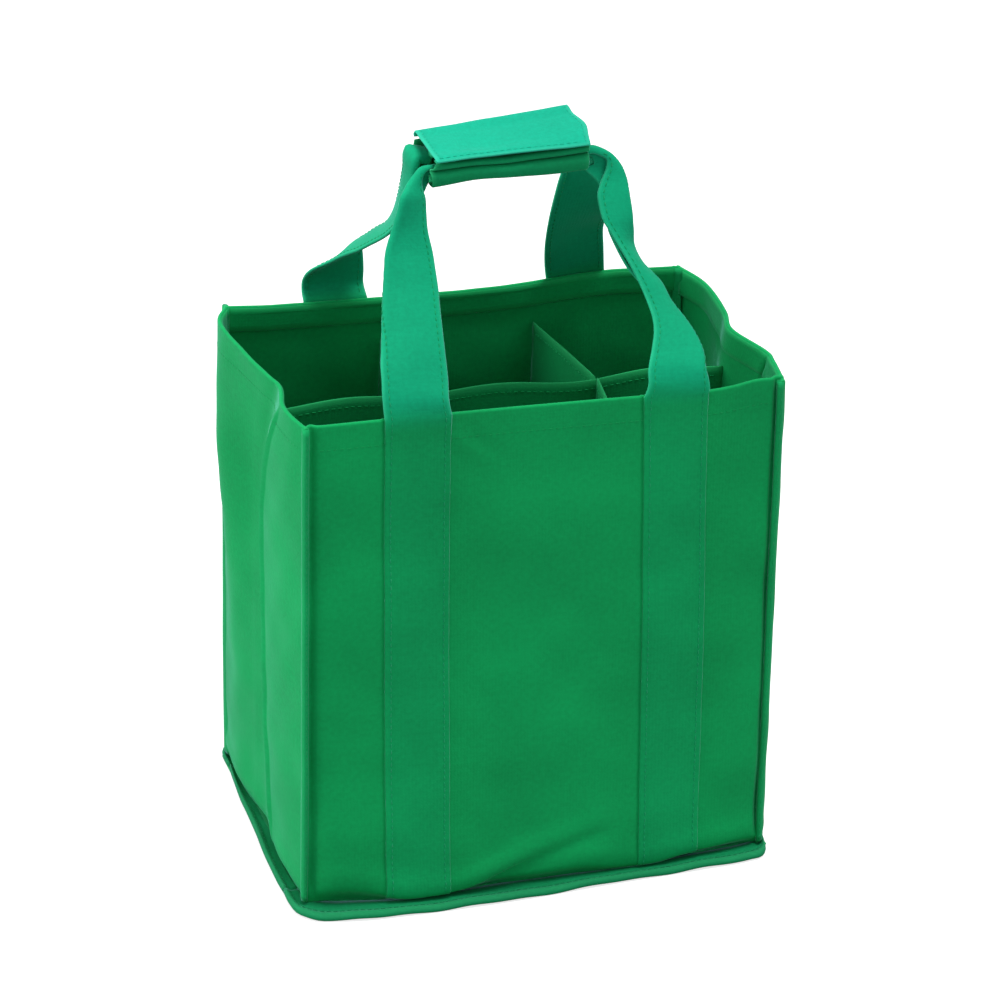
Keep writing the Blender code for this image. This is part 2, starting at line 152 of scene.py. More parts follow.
FLANGE_OUTER_RIGHT = (
    (122.4, -65.4), (124.4, -40), (125.0, -20), (124.2, 3), (123.9, 28), (124.2, 50), (124.4, 65.4),
)
FLANGE_INNER_RIGHT = (
    (118, -65.4), (119, -42), (118, -20), (115.8, 5), (117.4, 25), (118.6, 44), (118, 65.4),
)
FLANGE_OUTER_BACK = (
    (-121, 66), (-121.6, 76), (-120, 84), (-115, 88), (-100, 91), (-80, 93.4), (-50, 95.4),
    (0, 96), (50, 95.2), (80, 93.2), (100, 91), (116, 88), (121.6, 84), (123.6, 76), (124.4, 66),
)
FLANGE_INNER_BACK = (
    (-117, 66), (-116.8, 72), (-115.6, 77), (-111, 80), (-98, 82.4), (-78, 85), (-50, 87),
    (0, 88), (50, 86.8), (78, 84.8), (98, 82.4), (110, 80), (115.6, 77), (117, 72), (118, 66),
)
# Section of the bound seam: share of the way out, and height
FLANGE_SECTION = (
    (0, 0.4), (0, 2.6), (0.20, 2.4), (0.42, 2.2), (0.60, 2.5), (0.70, 3.3), (0.79, 3.8), (0.88, 3.7),
    (0.95, 2.9), (0.99, 1.9), (0.97, 1.0), (0.90, 0.5), (0.70, 0.3), (0.35, 0.3),
)
FLANGE_WORN = (0, 0, 0, 0, 0, 0.1, 0.25, 0.25, 0.2, 0, 0, 0, 0, 0)
# The stitches on it: share of the way out, and height
FLANGE_STITCH_SHARE, FLANGE_STITCH_HEIGHT = 0.60, 2.66

# Corner seams: section about the wall's corner, as on the left front
FIN_SECTIONS = {
    "left": (
        (0.6, 5.6), (-0.4, 3.4), (-0.8, 1), (-1, -1), (-0.5, -2.4), (0.4, -3.2), (1.4, -3.1), (2, -2.2),
        (2.2, -0.8), (2.3, 0.8), (2, 2.6),
    ),
    "right": (
        (0.9, 6.2), (-0.2, 3.4), (-0.4, 1.2), (0.4, -0.4), (1.4, -1.5), (2.4, -2.1), (3.2, -2.1), (3.8, -1.4),
        (4, -0.4), (4, 1), (3, 2.6), (1.6, 3.8),
    ),
}
FIN_STITCHES = {"left": (0.6, -3.25), "right": (2.8, -2.15)}

# Straps on the walls: X of the middle along Z
STRAP_CENTRES = {
    "front_left": {3: -64.2, 60: -64.5, 130: -64.7, 253: -64.1},
    "front_right": {3: 65.5, 60: 65.6, 135: 65.2, 200: 64.2, 253: 63.2},
    "back_left": {3: -63.5, 130: -63.2, 253: -63.6},
    "back_right": {3: 63.6, 130: 63.9, 253: 63.4},
}

# Cross dividers: X at the wall and at the long divider
CROSS_DIVIDERS = {"front": ((-40.5, -45.5), (40.2, 49.4)), "back": ((-40.5, -46), (40.5, 48.5))}

# Base board: half its size, its corners, the inset and height round its edge, and its line of stitches
BOARD_HALF_X, BOARD_HALF_Y, BOARD_CORNER = 117.6, 74.6, 4.0
BOARD_EDGE = ((3, 1.45), (0.5, 1.5), (0.05, 1.9), (0, 2.6), (0.05, 3.3), (0.5, 3.7), (3, 3.8))
BOARD_STITCHES = ((-113, -70), (113, -70), (113, 70), (-113, 70), (-113, -70))

# Strap legs from rim to grip, as measured in the photograph, or as chosen where they are hidden in it. Each
# station has the pixels of the free edge and of the crease or far edge, how far back the crease lies from the
# leg's depth curve, and the width folded behind it, where that isn't simply what is left over.
LEG_SEEN = {
    "front_left": (
        ((448, 400), (385, 401), 0), ((447, 380), (382.9, 380), 0), ((444, 352), (383.2, 352), 0),
        ((441.5, 330), (383.5, 330), 0), ((439, 308), (384, 308), 0), ((437.4, 290), (384.8, 290), 0),
        ((434.5, 270), (386, 270), -1), ((431.7, 252), (387.7, 252), -2), ((427, 231), (394.3, 231), -4),
        ((425.2, 211), (401.4, 211), -7), ((424.3, 198), (405.5, 196), -8),
    ),
    "front_right": (
        ((648.5, 390), (708.3, 390), 0), ((649.5, 370), (706, 370), 1), ((653.3, 347), (702.4, 347), 4),
        ((655, 332), (695.3, 332), 6), ((653, 316), (684.3, 316), 9), ((648, 302), (673, 302), 10),
        ((639, 281), (661, 281), 11), ((629.2, 262), (643, 262), 13), ((618.6, 244.5), (634.4, 244.5), 12),
        ((611, 232), (633.9, 232), 7), ((603.8, 220), (633, 220), 3), ((600, 206), (631.4, 206), 1),
        ((598.5, 194), (629, 192), 0, 15), ((602.5, 180), (626.5, 178), 0, 17),
        ((607, 168), (621.5, 166), 0, 20), ((607, 159), (613, 156), 0, 16),
        ((600, 154.5), (602, 149.5), 0, 11), ((592, 152.5), (592, 147), 0, 8),
    ),
    "back_left": (),
    "back_right": (
        ((545.6, 266), (602.5, 248), 5, 0), ((545.6, 247), (602.3, 226.5), 7, 0),
        ((550, 218), (611, 210), -1, 0), ((558.5, 184), (621.5, 195), -13, 0),
        ((567, 154.5), (621, 181), -25, 0), ((565, 136), (609, 167), -31, 0),
    ),
}
# The depth curve of each leg: its Y by height
LEG_DEPTHS = {
    "front_left": {
        253: -78.2, 258: -78.3, 262: -75.6, 266: -71.6, 270.5: -70.4, 275: -66.4, 285.8: -56.2, 301: -42.4,
        316: -30.2, 330: -22.3, 341.6: -17.5, 349: -15, 360: -14,
    },
    "front_right": {
        253: -78.2, 260: -78.2, 265: -76, 271.7: -70.7, 281.8: -60.3, 291: -49, 296: -45, 309.8: -36,
        322.4: -29, 333.5: -22, 342.7: -17.5, 349: -16, 360: -14.5,
    },
    "back_right": {253: 75, 262: 73, 277: 61, 297: 47, 320: 34, 338: 26, 350: 19, 356: 14},
}
# The stations after those, placed in the shared frame: free edge, crease or far edge, and width folded
LEG_PLACED = {
    "front_left": (
        ((-46.8, -16.6, 344), (-52.9, -20.2, 346.6), 17), ((-46.2, -15.4, 348), (-48.6, -16.4, 349.5), 13.5),
        ((-44.4, -14.8, 350.8), (-45.6, -15.2, 352), 10), ((-42.2, -14.5, 351.8), (-42.8, -14.2, 353), 7),
        ((-38, -13.5, 351.2), (-38.6, -12.6, 352.8), 6.5), ((-32, -12.8, 351), (-32, -12, 352.6), 6.5),
    ),
    "front_right": (
        ((34.6, -14.6, 352.6), (34.4, -14, 355), 7), ((27, -13, 351.4), (27, -12.6, 353.6), 6),
    ),
    "back_left": (
        ((-48.4, 79.2, 258.5), (-79.2, 78.9, 258), 0), ((-48.4, 79, 266), (-79, 77.5, 264.5), 0),
        ((-48.6, 79, 272), (-77, 71, 271), 0), ((-49, 79, 277), (-70.2, 62, 278.2), 0),
        ((-50, 76, 283), (-66, 52, 285), 0), ((-49.5, 67, 289), (-61.5, 40, 292), 0),
        ((-46.3, 60, 295), (-58.3, 32, 297.6), 0), ((-43, 52, 301), (-55.1, 24, 303.2), 0),
        ((-41.5, 45, 309), (-53, 16, 309), 0), ((-42.2, 36, 321), (-50, 7.5, 318.5), 1),
        ((-43.5, 27, 333), (-47, 4, 330), 7), ((-44.8, 20, 343), (-45, 3, 341), 14),
        ((-45.7, 16, 350.5), (-44.8, 3, 348), 17), ((-44.5, 15.5, 353.3), (-43.5, 3.5, 351), 15),
        ((-41, 15.5, 352.5), (-41, 4, 350.8), 13), ((-36, 15, 351.5), (-36, 4, 350), 11),
    ),
    "back_right": (((30, 14, 354.6), (38, -13, 349.6), 0),),
}
# How much wider than a leg looks the cloth folded behind it can be
TUCK_BEYOND = 3
# Heights between which lines of sight are followed, and the step
SIGHT_HEIGHTS = (245, 365, 0.05)
LEG_ROWS = 96
CREASE_RADIUS = 1.5
LEG_SETTLE = 14.0

# Grip: (y, z) of the flap in eight rows from hinge to front edge, at five places along it
FLAP_X = (-40.2, -20, 0, 20, 35)
FLAP_ROWS = (
    ((18.5, 356.8), (18.5, 356.8), (18.5, 356.9), (18.5, 357.0), (18.5, 357.2)),
    ((18.7, 358.0), (18.7, 359.2), (18.7, 360.4), (18.7, 361.4), (18.7, 362.6)),
    ((17.6, 359.2), (17.6, 360.9), (17.6, 362.6), (17.6, 364.2), (17.4, 365.5)),
    ((8, 359.0), (8, 360.4), (8, 361.8), (8, 363.6), (8, 365.6)),
    ((-2, 358.6), (-2, 359.6), (-2, 360.8), (-2, 362.4), (-2, 365.0)),
    ((-11, 358.0), (-11, 358.9), (-11, 359.9), (-11, 361.2), (-11, 363.4)),
    ((-18.4, 357.8), (-18.4, 358.8), (-18.4, 359.5), (-18.4, 360.2), (-18.4, 360.8)),
    ((-20.8, 357.1), (-20.8, 358.2), (-20.8, 358.9), (-20.8, 359.5), (-20.8, 359.6)),
)
# The wrap's (y, z) round the grip, and how far its lower and upper part rise at four places along it
WRAP_X = (-41, -12, 12, 35)
WRAP_PATH = (
    (16.7, 355.6), (17, 351), (16.8, 346.4), (14.8, 344), (6, 343.4), (-6, 343.2), (-14.2, 343.1),
    (-17.4, 344), (-19.2, 346), (-19.8, 348.2), (-19.5, 350.2), (-18.2, 351.3), (-16.4, 351.8),
    (-17.6, 352.5), (-19.4, 353.1), (-20, 353.9), (-19.3, 354.7), (-17, 354.9), (-13.5, 354.6), (-4, 354),
    (6, 353.4),
)
# How far each part of the wrap stops short of its left end, by distance round it from the back
WRAP_SHORT = {0: 0.4, 13: 0.6, 30: 0.4, 44: 0, 60: 0, 64: 3, 70: 8, 100: 8}
WRAP_LIFT_LOW = (0, 2.5, 1.4, 2.4)
WRAP_LIFT_HIGH = (0, 0.9, 1.4, 3.2)
WRAP_LOW, WRAP_HIGH = 343.4, 354.6
# The folded straps inside the grip: their ends along X, distance from the middle, height and bend
SPAN_ENDS, SPAN_Y, SPAN_Z, SPAN_BEND = (-36, 32.4), 14.5, 348.2, 2.6
GRIP_STEP = 1.6
# Fastening tapes: both along X and Y, and the rise of the upper one with the flap
TAPE_X, TAPE_Y, TAPE_SHEET = (-33, 31), (-13.5, -0.5), 0.9
TAPE_RISE = (0, 0.8, 1.7, 3.2, 5.6)
LOOP_TAPE_Z, HOOK_TAPE_Z = 354.6, 356.6
TAPE_STITCH_INSET = 1.2

# Photograph's view
PHOTO_PIXELS = 1000
FOCAL_MM = 150.38
SENSOR_MM = 36.0
CAMERA_PLACE = (-0.56770, -1.78970, 1.03135)
CAMERA_YAW = 0.30787
CAMERA_PITCH = 0.43044
CAMERA_ROLL = 0.02545

# Colours
PANEL = (0.0020, 0.325, 0.088)
# The straps' upper colour: the strap cloth made bluer and lighter, painted light from above on the legs
STRAP_TOP_LIT = (0.0020, 0.345, 0.165)
STRAP_RUN = (0.0020, 0.325, 0.098)
# The grip's colour: the cloth made bluer and lighter, painted light from above on the flap
LIT_GRIP = (0.0040, 0.370, 0.225)
FIN = (0.0020, 0.310, 0.090)
# The wrap's colour: the grip cloth made darker and greener, painted shade below the flap
SHADED_WRAP = (0.0030, 0.280, 0.100)
STRAP_THREAD = (0.0020, 0.300, 0.110)
# The bound seam's colour: the panel cloth made darker, painted shade at the foot
SHADED_SEAM = (0.0020, 0.215, 0.075)
DIVIDER = (0.0030, 0.260, 0.075)
BOARD = (0.0030, 0.160, 0.048)
TAPE = (0.0040, 0.200, 0.080)
SHEEN_TINT = (0.38, 0.85, 0.92, 1)
# Where along a strap its own colour turns to the bluer, lighter colour of painted light from above
TOP_LIT_FROM, TOP_LIT_TO = 243.0, 261.0


def unit(vectors):
    """The same directions, one long."""
    return vectors / (np.linalg.norm(vectors, axis=-1, keepdims=True) + 1e-12)


def spline(stops, values, where):
    """A smooth curve through the values at the stops, read at each place."""
    stops = np.asarray(stops, float)
    values = np.asarray(values, float)
    where = np.clip(np.asarray(where, float), stops[0], stops[-1])
    shape = (-1,) + (1,) * (values.ndim - 1)
    gaps = np.diff(stops).reshape(shape)
    slopes = np.diff(values, axis=0) / gaps
    between = (slopes[1:] * gaps[:-1] + slopes[:-1] * gaps[1:]) / (gaps[:-1] + gaps[1:])
    tangents = np.concatenate([slopes[:1], between, slopes[-1:]])
    low = np.clip(np.searchsorted(stops, where, side="right") - 1, 0, len(stops) - 2)
    gap = (stops[low + 1] - stops[low]).reshape(where.shape + (1,) * (values.ndim - 1))
    share = (where - stops[low]).reshape(gap.shape) / gap
    return (
        values[low] * (2 * share ** 3 - 3 * share ** 2 + 1)
        + tangents[low] * gap * (share ** 3 - 2 * share ** 2 + share)
        + values[low + 1] * (3 * share ** 2 - 2 * share ** 3)
        + tangents[low + 1] * gap * (share ** 3 - share ** 2)
    )


def along(table, where):
    """A table of value by place, read smoothly."""
    keys = sorted(table)
    return spline(keys, [table[k] for k in keys], where)


def ease(share):
    """A smooth step from 0 to 1."""
    held = np.clip(share, 0, 1)
    return held * held * (3 - 2 * held)


def bump(place, middle, width):
    """A smooth hill, 1 high, about a middle."""
    return np.exp(-((place - middle) / width) ** 2)


def travelled(line):
    """How far along a line of points each of them lies."""
    return np.concatenate([[0], np.cumsum(np.linalg.norm(np.diff(line, axis=0), axis=1))])


def read_line(stops, line, place):
    """The point of a line at a place between its stops."""
    return np.array([np.interp(place, stops, line[:, k]) for k in range(3)])


def ripple(u, v, length, seed):
    """Slow unevenness of handled cloth, between about -1 and 1."""
    chance = np.random.RandomState(seed)
    total = np.zeros(np.broadcast(u, v).shape)
    for step in range(7):
        angle = chance.uniform(0, math.pi)
        size = length * chance.uniform(0.6, 1.6)
        phase = chance.uniform(0, 2 * math.pi)
        total += np.sin((u * math.cos(angle) + v * math.sin(angle)) * 2 * math.pi / size + phase)
    return total / 3.5


def spaced(low, high, step):
    """Even places from low to high, about a step apart."""
    return np.linspace(low, high, max(2, int(round(abs(high - low) / step)) + 1))


def camera_axes():
    """The photograph's view: the directions to its right, up and ahead."""
    ahead = np.array([
        math.sin(CAMERA_YAW) * math.cos(CAMERA_PITCH),
        math.cos(CAMERA_YAW) * math.cos(CAMERA_PITCH),
        -math.sin(CAMERA_PITCH),
    ])
    level = np.array([math.cos(CAMERA_YAW), -math.sin(CAMERA_YAW), 0])
    upward = np.cross(level, ahead)
    right = level * math.cos(CAMERA_ROLL) + upward * math.sin(CAMERA_ROLL)
    up = upward * math.cos(CAMERA_ROLL) - level * math.sin(CAMERA_ROLL)
    return right, up, ahead


# Materials
MIX_FIRST, MIX_SECOND, MIX_RESULT = 6, 7, 2


def add_node(tree, kind, **settings):
    node = tree.nodes.new(kind)
    for name, value in settings.items():
        if isinstance(value, bpy.types.NodeSocket):
            tree.links.new(value, node.inputs[name.replace("_", " ")])
        elif name.replace("_", " ") in node.inputs:
            node.inputs[name.replace("_", " ")].default_value = value
        else:
            setattr(node, name, value)
    return node


def two_colours(tree, share, first, second):
    """A mix of two colours, each given plainly or from another node."""
    mix = add_node(tree, "ShaderNodeMix", data_type="RGBA")
    tree.links.new(share, mix.inputs[0])
    for entry, colour in ((MIX_FIRST, first), (MIX_SECOND, second)):
        if isinstance(colour, bpy.types.NodeSocket):
            tree.links.new(colour, mix.inputs[entry])
        else:
            mix.inputs[entry].default_value = tuple(colour) + (1,)
    return mix.outputs[MIX_RESULT]


def noise(tree, place, scale, detail, **settings):
    """A pattern of soft spots."""
    return add_node(tree, "ShaderNodeTexNoise", Vector=place, Scale=scale, Detail=detail, **settings)


def relief(tree, height, strength, depth):
    """Small hills in the look of a surface."""
    return add_node(tree, "ShaderNodeBump", Height=height, Strength=strength, Distance=depth)


def cloth_paint(
    name, colour, roughness=0.80, sheen=0.35, worn=0.55, dots=0.30, fibre=0.35, far=None,
):
    """Bonded fibre sheet: soft mottling, an embossed dot pattern, loose fibres and paler worn edges; with a
    far colour, painted light that the cloth turns to along a strap.
    """
    material = bpy.data.materials.new(name)
    material.use_nodes = True
    tree = material.node_tree
    shader = tree.nodes["Principled BSDF"]
    place = add_node(tree, "ShaderNodeTexCoord")
    on_cloth = place.outputs["UV"]
    cloud = noise(tree, place.outputs["Object"], 16.0, 3.0)
    mottle = noise(tree, on_cloth, 420.0, 4.0, Roughness=0.65)
    fibres = noise(tree, on_cloth, 1500.0, 3.0, Distortion=1.5)
    emboss = add_node(tree, "ShaderNodeTexVoronoi", Vector=on_cloth, Scale=620.0, Randomness=0.25)
    worn_edge = add_node(tree, "ShaderNodeAttribute", attribute_name="edge")

    shade = add_node(tree, "ShaderNodeMath", operation="MULTIPLY_ADD")
    tree.links.new(mottle.outputs["Fac"], shade.inputs[0])
    shade.inputs[1].default_value = 0.75
    tree.links.new(cloud.outputs["Fac"], shade.inputs[2])
    spread = add_node(tree, "ShaderNodeMapRange", Value=shade.outputs[0], From_Min=0.55, From_Max=1.15)

    def mottled(middle):
        dark, light = [c * 0.82 for c in middle], [c * 1.16 for c in middle]
        return two_colours(tree, spread.outputs[0], dark, light)

    body = mottled(colour)
    # The far colour is painted light: the strap turns to it a little below the rim and keeps it up to the
    # grip
    if far:
        along_strap = add_node(tree, "ShaderNodeSeparateXYZ", Vector=on_cloth).outputs["Y"]
        reach = add_node(
            tree, "ShaderNodeMapRange", Value=along_strap, interpolation_type="SMOOTHSTEP",
            From_Min=TOP_LIT_FROM * MM, From_Max=TOP_LIT_TO * MM,
        )
        body = two_colours(tree, reach.outputs[0], body, mottled(far))
    wear = add_node(tree, "ShaderNodeMath", operation="MULTIPLY")
    tree.links.new(worn_edge.outputs["Fac"], wear.inputs[0])
    wear.inputs[1].default_value = worn
    pale = [min(1, c * 1.30 + worn * 0.03) for c in far or colour]
    tree.links.new(two_colours(tree, wear.outputs[0], body, pale), shader.inputs["Base Color"])

    dimple = add_node(tree, "ShaderNodeMapRange", Value=emboss.outputs["Distance"], From_Max=0.55)
    dotted = relief(tree, dimple.outputs[0], dots, 0.00012)
    fuzz = relief(tree, fibres.outputs["Fac"], fibre, 0.00010)
    swell = relief(tree, mottle.outputs["Fac"], 0.30, 0.00035)
    tree.links.new(dotted.outputs[0], fuzz.inputs["Normal"])
    tree.links.new(fuzz.outputs[0], swell.inputs["Normal"])
    tree.links.new(swell.outputs[0], shader.inputs["Normal"])
    for entry, value in (
        ("Roughness", roughness), ("Specular IOR Level", 0.12), ("Sheen Weight", sheen),
        ("Sheen Roughness", 0.28), ("Sheen Tint", SHEEN_TINT),
    ):
        shader.inputs[entry].default_value = value
    return material


PAINTS = {
    "panel_cloth": cloth_paint("panel_cloth", PANEL),
    "seam_cloth": cloth_paint("seam_cloth", SHADED_SEAM, worn=1.0),
    "fin_cloth": cloth_paint("fin_cloth", FIN, worn=0.5),
    # The wrap's colour, painted shade
    "shaded_wrap_cloth": cloth_paint("shaded_wrap_cloth", SHADED_WRAP, worn=0.5),
    "divider_cloth": cloth_paint("divider_cloth", DIVIDER, sheen=0.10),
    # The straps' own colour below, and painted light from above on their legs
    "strap_cloth": cloth_paint("strap_cloth", STRAP_RUN, worn=0.6, far=STRAP_TOP_LIT),
    # The flap's colour, painted light from above
    "grip_cloth": cloth_paint("grip_cloth", LIT_GRIP, worn=0.8),
    "base_board": cloth_paint("base_board", BOARD),
    "loop_tape": cloth_paint("loop_tape", TAPE, dots=0.1, fibre=0.9, sheen=0.6),
    "hook_tape": cloth_paint("hook_tape", TAPE, dots=0.9),
}
def thread_paint(name, colour, shade=1.0):
    """Thread in about the colour of the cloth that it is sewn in."""
    return cloth_paint(name, tuple(c * shade for c in colour), roughness=0.6, worn=0)


THREADS = {
    "panel_cloth": thread_paint("panel_thread", PANEL, 0.9),
    "seam_cloth": thread_paint("seam_thread", SHADED_SEAM, 0.9),
    "divider_cloth": thread_paint("divider_thread", DIVIDER, 1.1),
    "strap_cloth": thread_paint("strap_thread", STRAP_THREAD),
    "grip_cloth": thread_paint("grip_thread", LIT_GRIP, 0.9),
}


# Meshes


def link(name, points, faces, uvs, edge, material):
    """A smooth mesh from points in mm."""
    mesh = bpy.data.meshes.new(name)
    mesh.from_pydata((np.asarray(points) * MM).tolist(), [], faces)
    mesh.polygons.foreach_set("use_smooth", np.ones(len(mesh.polygons), bool))
    loops = np.empty(len(mesh.loops), np.int32)
    mesh.loops.foreach_get("vertex_index", loops)
    layer = mesh.uv_layers.new(name="cloth")
    layer.data.foreach_set("uv", (np.asarray(uvs) * MM)[loops].astype(np.float32).ravel())
    attribute = mesh.attributes.new("edge", "FLOAT", "POINT")
    attribute.data.foreach_set("value", np.asarray(edge, np.float32))
    mesh.update()
    piece = bpy.data.objects.new(name, mesh)
    bpy.context.scene.collection.objects.link(piece)
    piece.data.materials.append(material)
    return piece


def sheet_normal(grid):
    """The outward direction at each point of a grid."""
    return unit(np.cross(np.gradient(grid, axis=1), np.gradient(grid, axis=0)))


class Cloth:
    """A piece of sheet about a grid of middle points, remembered for its seams."""

    def __init__(
        self, name, grid, thickness, slot, body, replaces=(), flat=None, held="stretched",
        rests_on=(), worn_rows=1.0, paint=None,
    ):
        self.grid = np.asarray(grid, float)
        self.thickness = thickness
        self.paint = PAINTS[paint or slot]
        self.worn_rows = np.reshape(worn_rows, (-1, 1))
        rows, columns = self.grid.shape[:2]
        self.normal = sheet_normal(self.grid)
        across = np.linalg.norm(np.diff(self.grid, axis=1), axis=2).mean(0)
        up = np.linalg.norm(np.diff(self.grid, axis=0), axis=2).mean(1)
        self.u = np.concatenate([[0], np.cumsum(across)])
        self.v = np.concatenate([[0], np.cumsum(up)])
        self.piece = self.build(name, rows, columns)
        if replaces:
            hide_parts(*replaces)
        if body:
            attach(self.piece, body)

    def build(self, name, rows, columns):
        front = self.grid + self.normal * self.thickness / 2
        back = self.grid - self.normal * self.thickness / 2
        uv = np.stack(np.broadcast_arrays(self.u[None, :], self.v[:, None]), -1)
        u, v = uv[..., 0], uv[..., 1]
        inset = np.minimum.reduce([u, self.u[-1] - u, v, self.v[-1] - v])
        worn = np.clip(1 - inset / WORN_BAND, 0, 1) * self.worn_rows
        index = np.arange(rows * columns).reshape(rows, columns)
        loop = np.concatenate([index[0, :-1], index[:-1, -1], index[-1, :0:-1], index[:0:-1, 0]])
        outward = np.zeros_like(self.grid)
        outward[0] += unit(self.grid[0] - self.grid[1])
        outward[-1] += unit(self.grid[-1] - self.grid[-2])
        outward[:, 0] += unit(self.grid[:, 0] - self.grid[:, 1]) * 0.5
        outward[:, -1] += unit(self.grid[:, -1] - self.grid[:, -2]) * 0.5
        flat = self.grid.reshape(-1, 3)
        thick = np.broadcast_to(self.thickness, self.grid.shape[:2] + (1,)).reshape(-1, 1)
        rim = flat[loop] + unit(outward.reshape(-1, 3)[loop]) * thick[loop] * EDGE_ROUND_SHARE
        points = np.concatenate([front.reshape(-1, 3), back.reshape(-1, 3), rim])
        count = rows * columns
        a, b, c, d = index[:-1, :-1], index[:-1, 1:], index[1:, 1:], index[1:, :-1]
        outer = np.stack([a, b, c, d], -1).reshape(-1, 4)
        inner = np.stack([a, d, c, b], -1).reshape(-1, 4) + count
        ring = np.arange(len(loop)) + 2 * count
        after, ring_after = np.roll(loop, -1), np.roll(ring, -1)
        upper = np.stack([after, loop, ring, ring_after], -1)
        lower = np.stack([ring_after, ring, loop + count, after + count], -1)
        faces = np.concatenate([outer, inner, upper, lower]).tolist()
        flat_uv, flat_worn = uv.reshape(-1, 2), worn.ravel()
        uvs = np.concatenate([flat_uv, flat_uv, flat_uv[loop]])
        edge = np.concatenate([flat_worn, flat_worn, flat_worn[loop]])
        return link(name, points, faces, uvs, edge, self.paint)

    def column_line(self, inset, side=1):
        """A line up the cloth at a distance from its left edge, or from its right edge if negative."""
        place = inset if inset >= 0 else self.u[-1] + inset
        points = np.array([read_line(self.u, row, place) for row in self.grid])
        normals = np.array([read_line(self.u, row, place) for row in self.normal])
        thickness = np.broadcast_to(self.thickness, self.grid.shape[:2] + (1,))[:, 0]
        return points + normals * side * thickness / 2, normals * side

    def row_line(self, inset, side=1):
        """A line across the cloth at a distance from its lower edge, or from its upper edge if negative."""
        place = inset if inset >= 0 else self.v[-1] + inset
        points = np.array([read_line(self.v, column, place) for column in self.grid.transpose(1, 0, 2)])
        normals = np.array([read_line(self.v, column, place) for column in self.normal.transpose(1, 0, 2)])
        return points + normals * side * self.thickness / 2, normals * side


# Rings of a stitch: share of its length, size, and lift
STITCH_RINGS = (
    (-0.5, 0.45, -0.9), (-0.34, 1.0, 0.15), (0, 1.05, 0.35), (0.34, 1.0, 0.15), (0.5, 0.45, -0.9),
)
STITCH_SIDES = 6


def stitches(name, lines, slot, body, radius=THREAD_RADIUS):
    """One row of thread stitches along each line of points and normals."""
    points, faces = [], []
    for line, normals in lines:
        steps = travelled(line)
        count = int(steps[-1] / STITCH_PITCH) - 1
        for number in range(count):
            middle = STITCH_PITCH * (number + 0.75)
            ends = [read_line(steps, line, middle + s * STITCH_LENGTH) for s in (-0.5, 0.5)]
            up = unit(read_line(steps, normals, middle))
            ahead = unit(ends[1] - ends[0])
            side = np.cross(up, ahead)
            start = len(points)
            for share, size, lift in STITCH_RINGS:
                centre = (ends[0] + ends[1]) / 2 + (ends[1] - ends[0]) * share + up * lift * radius
                for turn in range(STITCH_SIDES):
                    angle = 2 * math.pi * turn / STITCH_SIDES
                    offset = side * math.cos(angle) + up * math.sin(angle)
                    points.append(centre + offset * radius * size)
            for ring in range(len(STITCH_RINGS) - 1):
                near = start + ring * STITCH_SIDES
                far = near + STITCH_SIDES
                for turn in range(STITCH_SIDES):
                    after = (turn + 1) % STITCH_SIDES
                    faces.append([near + turn, near + after, far + after, far + turn])
            last = start + (len(STITCH_RINGS) - 1) * STITCH_SIDES
            faces.append([start + turn for turn in reversed(range(STITCH_SIDES))])
            faces.append([last + turn for turn in range(STITCH_SIDES)])
    points = np.array(points)
    piece = link(name, points, faces, points[:, :2], np.zeros(len(points)), THREADS[slot])
    if body:
        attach(piece, body)
    return piece


def bar(name, sections, slot, body, replaces=(), worn=0.3, paint=None):
    """A closed solid swept through rings of points, capped at both ends."""
    sections = np.asarray(sections, float)
    count, sides = sections.shape[:2]
    index = np.arange(count * sides).reshape(count, sides)
    after = np.roll(index, -1, axis=1)
    faces = np.stack([index[:-1], after[:-1], after[1:], index[1:]], -1).reshape(-1, 4).tolist()
    faces.append(index[0, ::-1].tolist())
    faces.append(index[-1].tolist())
    length = np.concatenate([[0], np.cumsum(np.linalg.norm(np.diff(sections, axis=0), axis=2).mean(1))])
    girth = np.concatenate([[0], np.cumsum(np.linalg.norm(np.diff(sections, axis=1), axis=2).mean(0))])
    uvs = np.stack(np.broadcast_arrays(length[:, None], girth[None, :]), -1).reshape(-1, 2)
    edge = np.broadcast_to(worn, (count, sides)).ravel()
    piece = link(name, sections.reshape(-1, 3), faces, uvs, edge, PAINTS[paint or slot])
    if replaces:
        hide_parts(*replaces)
    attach(piece, body)
    return piece


# Walls


def front_wall(x, z):
    """Y of the front's outer face."""
    share = np.clip(1 - z / RIM, 0, 1) ** 1.25
    loose = ease((RIM - z) / 60) * ease(z / 20)
    belly = FRONT_TOP + (along(FRONT_BELLY, x) - FRONT_TOP) * share
    height = along(FRONT_FOLD_HEIGHT, x)
    tuck = ease((height - z) / (height - FOOT + 0.2)) * (along(FRONT_SEAM, x) - along(FRONT_BELLY, x))
    swell = 0.9 * bump(z, height + 5, 6)
    under = along(CREASE_HEIGHT, x) - z
    crease = along(CREASE_DEPTH, x) * ease(under / 3.5) * ease((17 - under) / 14)
    lip = along(CREASE_DEPTH, x) * 0.5 * bump(under, -4, 5)
    left_groove = 2.2 * bump(x, -115.2, 2.1)
    right_groove = 2.8 * ease((x - 111.4) / 3.4)
    corner = (left_groove + right_groove) * ease((z - 4) / 10)
    pucker = 0.5 * bump(x, -38, 14) * bump(z, 236, 9) * np.sin((x + z) / 3.2)
    slack = loose * (0.8 * ripple(x, z, 95, 3) + 0.22 * ripple(x, z, 30, 5))
    beside = -STRAP_WIDTH / 2 - 0.9
    seams = sum(
        0.8 * bump(x - along(STRAP_CENTRES[name], z), beside, 0.9) for name in ("front_left", "front_right")
    )
    return belly + tuck - swell + crease - lip + corner + slack + pucker + seams * ease((z - 4) / 8)


